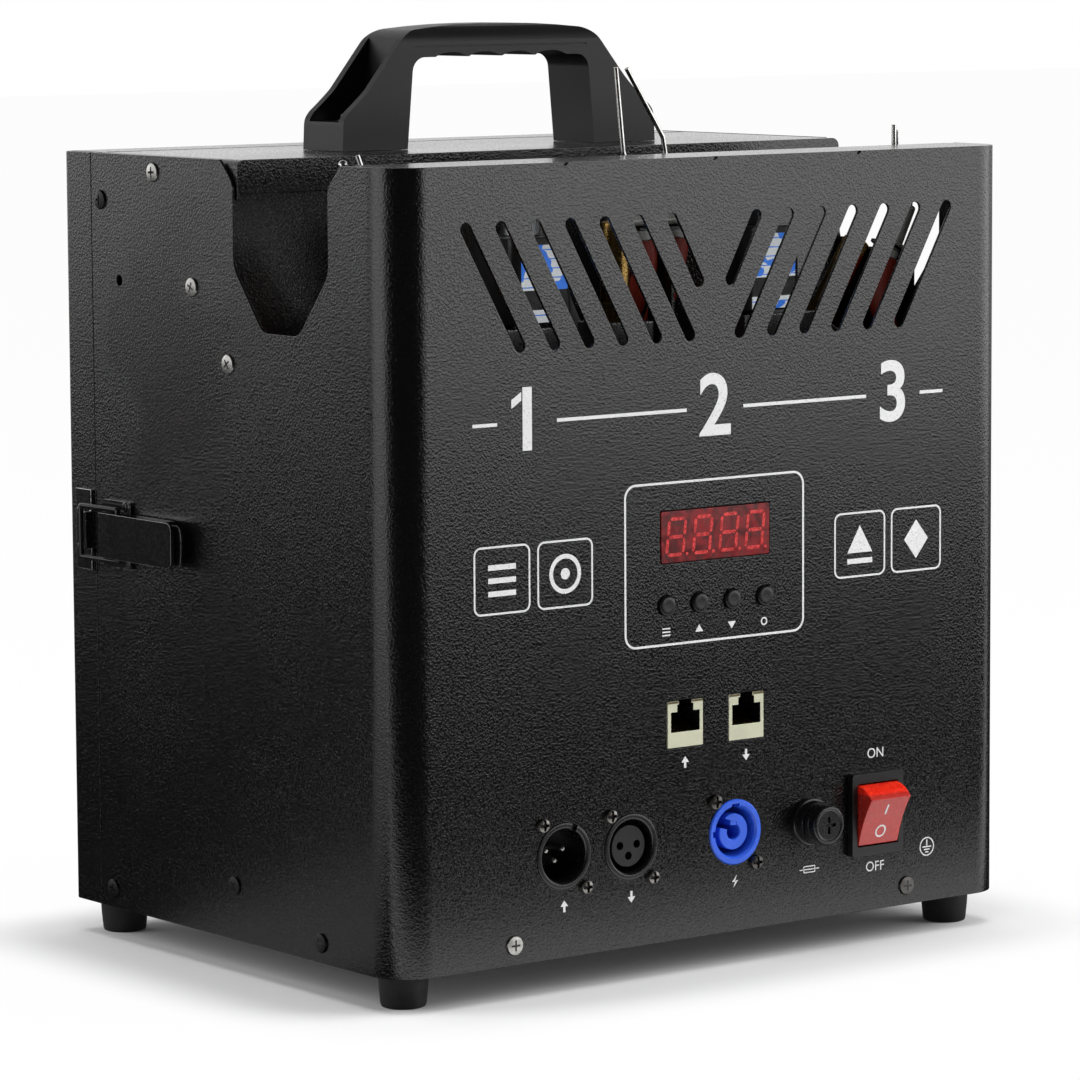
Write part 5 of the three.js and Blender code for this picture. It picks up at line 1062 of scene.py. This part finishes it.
def power_inlet():
    x = socket_xs["power_inlet"]
    centre = on_panel(x)
    ring = socket_ring(x, 9.0, 14, 0.6)
    notches = [prism(rectangle(x - 1.8, x + 1.8, socket_row + 7, socket_row + 10.4, 0.4), -3, 7),
               box(x - 10.6, x - 7, -3, 7, socket_row - 1.2, socket_row + 1.2)]
    ring = carved(ring, *notches)
    core = turned([(2.9, -14.2), (6.6, -14.2), (6.6, -1.1), (6.3, -0.8), (3.2, -0.8), (2.9, -1.1),
                   (2.9, -14.2)], centre, front, 48)
    core = carved(core, moved(prism(rectangle(-7.5, 0.5, 0.2, 3.8), -3, 12),
                              Matrix.Translation(centre) @ Matrix.Rotation(math.radians(16), 4, "Y")))
    tooth = box(x - 1.3, x + 1.3, 0.9, 13, socket_row + 2.4, socket_row + 4.6)
    whole = gathered(softened(ring, 0.2), softened(core, 0.25), softened(tooth, 0.2), socket_flange(x))
    piece("power_inlet_body", whole, "cabinet", "blue_plastic", "power_inlet")


data_inlet()
data_outlet()
power_inlet()


# Fuse holder and rocker switch
def fuse():
    centre = on_panel(fuse_x)
    holder = turned([(4.2, -31), (5.9, -32.8), (5.9, -0.1), (8.7, -0.1), (8.8, 0.1), (8.8, 1.7),
                     (8.55, 2.0), (7.95, 2.1), (7.9, 4.9), (7.7, 5.2), (4.2, 5.2), (4.2, -31)],
                    centre, front, 56)
    nut = prism(hexagon(9, fuse_x, socket_row), 1.3, 4.3)
    piece("fuse_holder_body", gathered(holder, softened(nut, 0.3)), "cabinet", "black_plastic",
          "fuse_holder")
    cap = turned([(0, 5.35), (7.0, 5.35), (7.15, 5.5), (7.2, 7.6), (7.05, 7.75), (7.05, 8.0), (7.2, 8.15),
                  (7.2, 10.6), (7.05, 11.1), (6.6, 11.45), (5.8, 11.5), (5.5, 11.25), (5.2, 11.2),
                  (0, 11.2)], centre, front, 56)
    slots = gathered(box(fuse_x - 3.2, fuse_x + 3.2, -13, -10.1, socket_row - 0.65, socket_row + 0.65),
                     box(fuse_x - 0.65, fuse_x + 0.65, -13, -10.1, socket_row - 3.2, socket_row + 3.2))
    cap = softened(carved(cap, slots), 0.12, 40)
    piece("fuse_cap_body", cap, "fuse_cap", "black_plastic", "fuse_cap")
    tube = turned([(0, 0), (2.3, 0), (2.6, 0.3), (2.6, 5.0), (2.5, 5.2), (2.5, 14.8), (2.6, 15.0),
                   (2.6, 19.7), (2.3, 20), (0, 20)], Vector((fuse_x, -5.2, socket_row)), back, 28)
    piece("fuse_tube", tube, "fuse_carrier", "fuse_glass", "glass_fuse")


def rocker():
    bezel = prism(centred(rocker_x, socket_row, 12.3, 15.35, 1.2), -3, -0.1, "y", 5)
    shell = box(rocker_x - 11, rocker_x + 11, -1.5, 20, socket_row - 13.5, socket_row + 13.5)
    body = joined_by(bezel, shell, "UNION")
    well = prism(centred(rocker_x, socket_row, 9.9, 11.7, 0.6), -6, 12, "y", 3)
    body = softened(carved(body, well), 0.35, 40, 3)
    piece("rocker_bezel", body, "cabinet", "bezel_plastic", "rocker_frame")
    dressed("rocker_key", "rocker_key", "red_plastic", 0.3)
    tilt = Matrix.Translation((rocker_x, -1.3, socket_row)) @ Matrix.Rotation(math.radians(22.8), 4, "X")
    stroke = prism(rectangle(-0.4, 0.4, 2.4, 6.8, 0.1), -0.06, 0.2, "y", 2)
    ring = turned([(1.85, -0.2), (2.5, -0.2), (2.5, 0.06), (1.85, 0.06), (1.85, -0.2)],
                  Vector((0, 0, -4.6)), front, 40)
    marks = gathered(stroke, ring)
    for vert in marks.verts:
        vert.co.y += -5.9 + 0.9 * (1 - (vert.co.z / 9.65) ** 2)
    piece("rocker_marks", moved(marks, tilt), "rocker_key", "printed_ink")


fuse()
rocker()

# Burner bay
refinished("supply_case", "power_supply")
refinished("black_plastic", "ignition_module")


def leaning(degrees):
    return Vector((math.sin(math.radians(degrees)), 0, math.cos(math.radians(degrees))))


def burner(name, side):
    """A valve block with its nozzle; the middle coil hangs under the deck and the outer ones stand."""
    block_top, lean, coil_height, coil_gap = deck_top + 14.6, 33, 31, 1.5
    if side == 0:
        coil_x, core_way = -10.5, down
        core_place = Vector((coil_x, head_depth, deck_top))
        nozzle_foot = Vector((coil_x, head_depth, block_top))
        block = prism(rectangle(-20.5, -0.5, 34, 54, 0.8), deck_top, block_top, "z", 3)
        coil_low = deck_top - coil_gap - coil_height
    else:
        drop = (94 - 76) * math.tan(math.radians(lean))
        coil_x, core_way = side * 52.8, up
        core_place = Vector((coil_x, head_depth, block_top))
        nozzle_foot = Vector((side * 85, head_depth, block_top - drop / 2))
        block = prism([(side * 42, deck_top), (side * 94, deck_top), (side * 94, block_top - drop),
                       (side * 76, block_top), (side * 42, block_top)], 34, 54, "y")
        coil_low = block_top + coil_gap
    way = leaning(lean * side)
    nozzle = turned([(0, -6), (4, -6), (4, 0.5), (5.2, 0.9), (5.4, 1.2), (5.4, 34.6), (5.0, 35.6),
                     (4.2, 36), (2.6, 36), (2.2, 35.6), (2.2, 10), (0, 10)], nozzle_foot, way, 32)
    flats = moved(softened(prism(hexagon(7.6), -0.1, 6.9, "z"), 0.5), aimed(nozzle_foot, way))
    piece(f"valve_block_{name}", gathered(softened(block, 0.5), nozzle, flats, slots=[1, 0, 0]), "cabinet",
          ["brass", "black_steel"], f"valve_{name}")
    core = turned([(0, -1.5), (4, -1.5), (4, 32.6), (7.2, 32.6), (7.4, 32.9), (7.4, 39.2), (7.2, 39.6),
                   (4, 39.6), (4, 41.2), (3.6, 41.6), (0, 41.6)], core_place, core_way, 36)
    piece(f"coil_core_{name}", core, "cabinet", "core_steel")
    winding = prism(centred(coil_x, head_depth, 13.5, 13.5, 4),
                    coil_low, coil_low + coil_height, "z", 8)
    bore = disc(4.2, -2, 33, Vector((coil_x, head_depth, coil_low)), up, 24)
    winding = softened(carved(winding, bore), 0.7, 40, 3)
    piece(f"coil_winding_{name}", winding, "cabinet", "coil_wrap", f"coil_{name}")


for name, side in (("left", -1), ("centre", 0), ("right", 1)):
    burner(name, side)

electrode_ends = [
    [(-123.5, 38, 268), (-122.5, 42, 276), (-124.5, 43, 282.7)],
    [(-127, 50, 268), (-128, 48, 274), (-128.5, 46, 279.6)],
    [(-5.8, 45, 280), (-9, 45, 310.8)],
    [(13.5, 45, 279.8), (12.5, 45, 285.3), (-4.1, 45, 310.3)],
    [(123, 37, 264), (121, 42, 272), (121, 42, 286.9)],
    [(126.5, 51, 268), (127.7, 48, 276), (126.5, 47, 284.6)],
]
lead_ways = [
    [(-104, 31, 225), (-106, 29, 213), (-106, 29, 200), (-98, 42, 184), (-56, 78, 172)],
    [(-104, 58, 225), (-104, 60, 213), (-104, 60, 200), (-88, 68, 186), (-36, 79, 173)],
    [(5, 46, 238), (5, 55, 222), (5, 62, 208), (5, 62, 200), (-8, 76, 176)],
    [(18, 46, 238), (17, 53, 222), (17, 61, 208), (17, 61, 200), (11, 77, 176)],
    [(104, 31, 225), (106, 29, 213), (106, 29, 200), (98, 42, 184), (36, 78, 172)],
    [(104, 58, 225), (104, 60, 213), (104, 60, 200), (88, 68, 186), (56, 79, 173)],
]
ceramic_feet = [(Vector((-109, 33, 236)), leaning(-30)), (Vector((-109, 55, 236)), leaning(-30)),
                (Vector((3, 44, 248)), leaning(-12)), (Vector((19, 44, 248)), leaning(-12)),
                (Vector((109, 33, 236)), leaning(30)), (Vector((109, 55, 236)), leaning(30))]


def electrode(index):
    foot, way = ceramic_feet[index]
    number = index + 1
    post = turned([(0, 0), (3.1, 0), (3.3, 0.3), (3.3, 6.3), (4.4, 6.5), (4.6, 6.8), (4.6, 8.0), (4.4, 8.3),
                   (3.3, 8.5), (3.2, 9.2), (2.5, 23.4), (2.2, 24), (0, 24)], foot, way, 32)
    piece(f"electrode_ceramic_{number}", post, "cabinet", "ceramic_white",
          f"spark_electrode_{number}")
    wire = bent_wire([foot + way * 12, foot + way * 25, *electrode_ends[index]], 0.9, 1.6, 12)
    if index == 1:
        ball = turned([(0, -1.6), (0.9, -1.32), (1.4, -0.75), (1.6, 0), (1.4, 0.75), (0.9, 1.32), (0, 1.6)],
                      Vector(electrode_ends[index][-1]), up, 20)
        wire = gathered(wire, ball)
    piece(f"electrode_wire_{number}", wire, "cabinet", "electrode_steel")
    tower = Vector(((index - 2.5) * 20, 80.6, 161.1))
    lead = smooth_hose([foot + way * 2.2, *lead_ways[index], tower + Vector((0, 0, 7)), tower], 2.2, 16)
    boot = smooth_hose([foot + way * 1.2, *lead_ways[index][:3]], 4.3, 20)
    piece(f"electrode_lead_{number}", gathered(lead, boot), "cabinet", "lead_silicone")


for index in range(6):
    electrode(index)


# Gas bay
def gas_can(name, x):
    base = 1.3
    can = turned([(0, 8), (16, 6.4), (26, 0.4), (28.5, 0), (31.2, 0), (32.1, 0.6), (32.2, 2.2), (31.6, 2.8),
                  (33, 4), (33, 176), (31.9, 177.6), (32.2, 178.6), (31.6, 179.6), (30.6, 180.2),
                  (26, 186.5), (20, 190.6), (16.4, 192), (16, 194.4), (15.2, 195), (12.5, 195),
                  (11.6, 194), (10.6, 191.5), (4, 192), (3.4, 199), (2.2, 200), (2.2, 208),
                  (1.8, 208.2), (0, 208.2)], Vector((x, can_depth, base)), up, 56)
    piece(f"can_shell_{name}", can, "cabinet", "can_paint", f"gas_can_{name}")


def gas_hose(name, x, passing):
    crest = 264
    start = Vector((x, can_depth, 254.1))
    way = [start, start + Vector((0, 0, 4.5)), Vector((x, 133, crest)),
           Vector(((x + passing) / 2, 119.35, crest))]
    way += [Vector((passing, depth, height)) for depth, height in (
        (105.7, 247), (87.7, 247), (72.1, 221.4), (63.1, 212.4), (54.1, 212.4))]
    piece(f"hose_{name}", smooth_hose(way, 3, 20), "cabinet", "hose_rubber",
          f"gas_hose_{name}")


for name, x, passing in (("left", -86, -68), ("centre", 0, -10.5), ("right", 86, 68)):
    gas_can(name, x)
    gas_hose(name, x, passing)


# Prints on the front panel
def ring_outline(x0, x1, z0, z1, radius, width):
    """A rounded outline of one line width."""
    outer = prism(rectangle(x0, x1, z0, z1, radius), -0.04, 0.3, "y", 8)
    inner = prism(rectangle(x0 + width, x1 - width, z0 + width, z1 - width, radius - width), -2, 2, "y", 8)
    return carved(outer, inner)


def mark(corners):
    return prism(corners, -0.04, 0.3)


def bar(x0, x1, z0, z1):
    return mark(rectangle(x0, x1, z0, z1))


def arrow(x, z, way):
    """A small arrow that points up or down."""
    return [mark([(x - 1.7, z), (x + 1.7, z), (x, z + 2.2 * way)]),
            bar(x - 0.5, x + 0.5, *sorted((z, z - 2.0 * way)))]


def circle(x, z, outer, inner):
    """A ring, or a dot where the inner radius is 0."""
    if not inner:
        return disc(outer, -0.3, 0.04, on_panel(x, z), front, 48)
    profile = [(inner, -0.3), (outer, -0.3), (outer, 0.04), (inner, 0.04), (inner, -0.3)]
    return turned(profile, on_panel(x, z), front, 48)


def lettering(text, x, z, size, weight=0.0):
    """Plain characters centred on a place of the panel."""
    words = bpy.data.curves.new("words", "FONT")
    words.body = text
    words.size = size
    words.align_x = "CENTER"
    words.align_y = "CENTER"
    words.extrude = 0.02
    words.offset = weight
    words.resolution_u = 8
    upright = Matrix.Rotation(math.pi / 2, 4, "X")
    return moved(curve_shape(words), Matrix.Translation((x, -0.02, z)) @ upright)


def panel_prints():
    marks = [ring_outline(-41.4, 41.4, 106.9, 165.5, 5, 0.8)]
    for number, x in (("1", -84), ("2", 0), ("3", 84)):
        marks.append(lettering(number, x, 190.5, 31, 0.5))
    marks.append(mark([(-86.5, 201.3), (-86.5, 198.2), (-90.8, 195.6), (-90.8, 198.6)]))
    for x0, x1 in ((-107.6, -97), (-71, -13), (13, 71), (97, 108.2)):
        marks.append(bar(x0, x1, 189.9, 191.1))
    for x in (-95.3, -67.7, 68.1, 95.4):
        marks.append(ring_outline(x - 12.25, x + 12.25, 124.4, 148.4, 3, 0.7))
    marks += [bar(-101.3, -89.3, z, z + 1.9) for z in (130.8, 135.4, 140.0)]
    marks += [circle(-67.7, 136.4, 7, 5.4), circle(-67.7, 136.4, 2, 0)]
    marks += [mark([(62.1, 133.4), (74.1, 133.4), (68.1, 143.4)]), bar(62.1, 74.1, 129.4, 131.3)]
    marks += [mark([(95.4, 129.2), (101.2, 136.4), (95.4, 143.6), (89.6, 136.4)])]
    menu, plus, minus, enter = button_xs
    marks += [bar(menu - 1.8, menu + 1.8, z, z + 0.5) for z in (110.4, 111.6, 112.8)]
    marks += [mark([(plus - 1.8, 110.8), (plus + 1.8, 110.8), (plus, 113.4)])]
    marks += [mark([(minus, 110.6), (minus + 1.8, 113.2), (minus - 1.8, 113.2)])]
    marks += [circle(enter, 112, 1.5, 0.95)]
    for x, way in ((jack_xs[0], 1), (jack_xs[1], -1), (socket_xs["data_inlet"], 1),
                   (socket_xs["data_outlet"], -1)):
        height = 64.2 if abs(x) < 20 else 18.4
        marks += arrow(x, height, way)
    x = socket_xs["power_inlet"]
    marks += [mark([(x + 0.9, 20.8), (x - 1.4, 18.2), (x - 0.2, 18.2)]),
              mark([(x + 1.4, 18.6), (x + 0.2, 18.6), (x - 0.9, 16.0)])]
    marks += [ring_outline(fuse_x - 2.8, fuse_x + 2.8, 17.4, 20.0, 0.35, 0.35),
              bar(fuse_x - 4.6, fuse_x + 4.6, 18.5, 18.85)]
    marks += [lettering("ON", 75.9, 58.4, 5.2), lettering("OFF", 75.7, 16.1, 5.2)]
    marks += [circle(101.2, 20.7, 3.55, 3.1), bar(100.95, 101.45, 20.7, 23.3)]
    marks += [bar(101.2 - wide, 101.2 + wide, z, z + 0.45)
              for wide, z in ((2.1, 20.4), (1.4, 19.4), (0.8, 18.4))]
    piece("panel_prints", gathered(*marks), "cabinet", "printed_ink")


panel_prints()


# Floor, light and background, with bright panels that only mirrored rays meet
rightwards, away = Vector((0.797, -0.604, 0)), Vector((0.604, 0.797, 0))


def left_corner(look, across, behind):
    """A bright panel left of the object, a little nearer to the camera."""
    return look.falling(across, -0.78, -0.62) * look.falling(behind, -0.22, -0.06)


def studio():
    floor_shape = bmesh.new()
    bmesh.ops.create_grid(floor_shape, x_segments=2, y_segments=2, size=9)
    floor = linked("floor", meshed(floor_shape, "floor"))
    f = finish("floor_paper")
    camera_ray, glossy, through = f.rays()
    reach = f.vector("LENGTH", f.place(), output="Value")
    outside = f.vector("SUBTRACT", f.vector("ABSOLUTE", f.place()), (0.141, 0.1, 0))
    gap = f.vector("LENGTH", f.vector("MAXIMUM", outside, (0, 0, 0)), output="Value")
    ahead = -0.12 - f.axis("Y")
    near = f.between(ahead, 0.02, 0.16, 1.6, 0.0) * (ahead > 0)
    paper = f.node("ShaderNodeBsdfDiffuse", sockets={"Color": f.mixed(f.noise(400, 2.0), 0.8, 0.84)})
    seen = f.mixed_shaders(f.between(gap, 0.012, 0.055, 0.02, 0.97), paper, f.emission((1, 1, 1, 1)))
    across = f.vector("DOT_PRODUCT", f.place(), rightwards, output="Value") / reach
    behind = f.vector("DOT_PRODUCT", f.place(), away, output="Value") / reach
    beside = f.between(across, 0.75, 0.92) * f.between(reach, 1.4, 2.9) * 2.7
    beside += f.falling(across, -0.85, -0.5) * f.between(reach, 2.0, 6.0) * 0.95
    beside += f.between(reach, 0.8, 3.0) * f.between(behind, 0.25, 0.5) * 0.3
    beside += left_corner(f, across, behind) * f.between(reach, 0.2, 2.2, 0.35, 1.5)
    mix = f.mixed_shaders(camera_ray + through, paper, seen)
    mix = f.mixed_shaders(glossy * (1 - camera_ray), mix, f.emission(beside + near + 0.02))
    f.node("ShaderNodeOutputMaterial", sockets={"Surface": mix})
    finishes["floor_paper"].cycles.emission_sampling = "NONE"
    floor.data.materials.append(finishes["floor_paper"])

    world = bpy.data.worlds.new("studio")
    world.use_nodes = True
    bpy.context.scene.world = world
    w = Finish(world.node_tree)
    camera_ray, glossy, through = w.rays()
    way = w.node("ShaderNodeTexCoord", output="Generated")
    across, behind, rise = [w.vector("DOT_PRODUCT", way, direction, output="Value")
                            for direction in (rightwards, away, up)]
    low_band = w.falling(rise, 0.5, 0.75)
    sides = w.between(across, 0.8, 0.95) * 2.9 + w.falling(across, -0.85, -0.5) * 1.25
    sides += left_corner(w, across, behind) * 0.9
    bright = w.between(behind, 0.25, 0.5) * low_band + sides * w.falling(rise, 0.18, 0.38) + 0.02
    level = camera_ray + through + (1 - camera_ray - through) * bright
    sky = w.node("ShaderNodeBackground", sockets={"Color": level, "Strength": 1.0})
    w.node("ShaderNodeOutputWorld", sockets={"Surface": sky})

    def softbox(name, place, aim, width, height, power):
        data = bpy.data.lights.new(name, "AREA")
        data.shape = "RECTANGLE"
        data.size, data.size_y = width, height
        data.energy = power
        lamp = linked(name, data)
        lamp.location = place
        lamp.rotation_mode = "QUATERNION"
        lamp.rotation_quaternion = (Vector(aim) - Vector(place)).to_track_quat("-Z", "Y")
        lamp.visible_glossy = False
        lamp.visible_camera = False

    softbox("softbox_right", (1.25, -1.05, 1.0), (0, 0, 0.2), 1.2, 1.2, 28)
    softbox("softbox_left", (-1.5, 0.7, 1.1), (0, 0, 0.2), 0.9, 1.2, 16)
    softbox("softbox_top", (0, -0.1, 1.7), (0, 0, 0.1), 1.4, 1.4, 22)
    softbox("light_behind_the_slots", (0.002, -0.094, 0.247), (0.002, 0, 0.247), 0.2, 0.03, 0.018)


studio()

bpy.context.scene.view_settings.view_transform = "Standard"
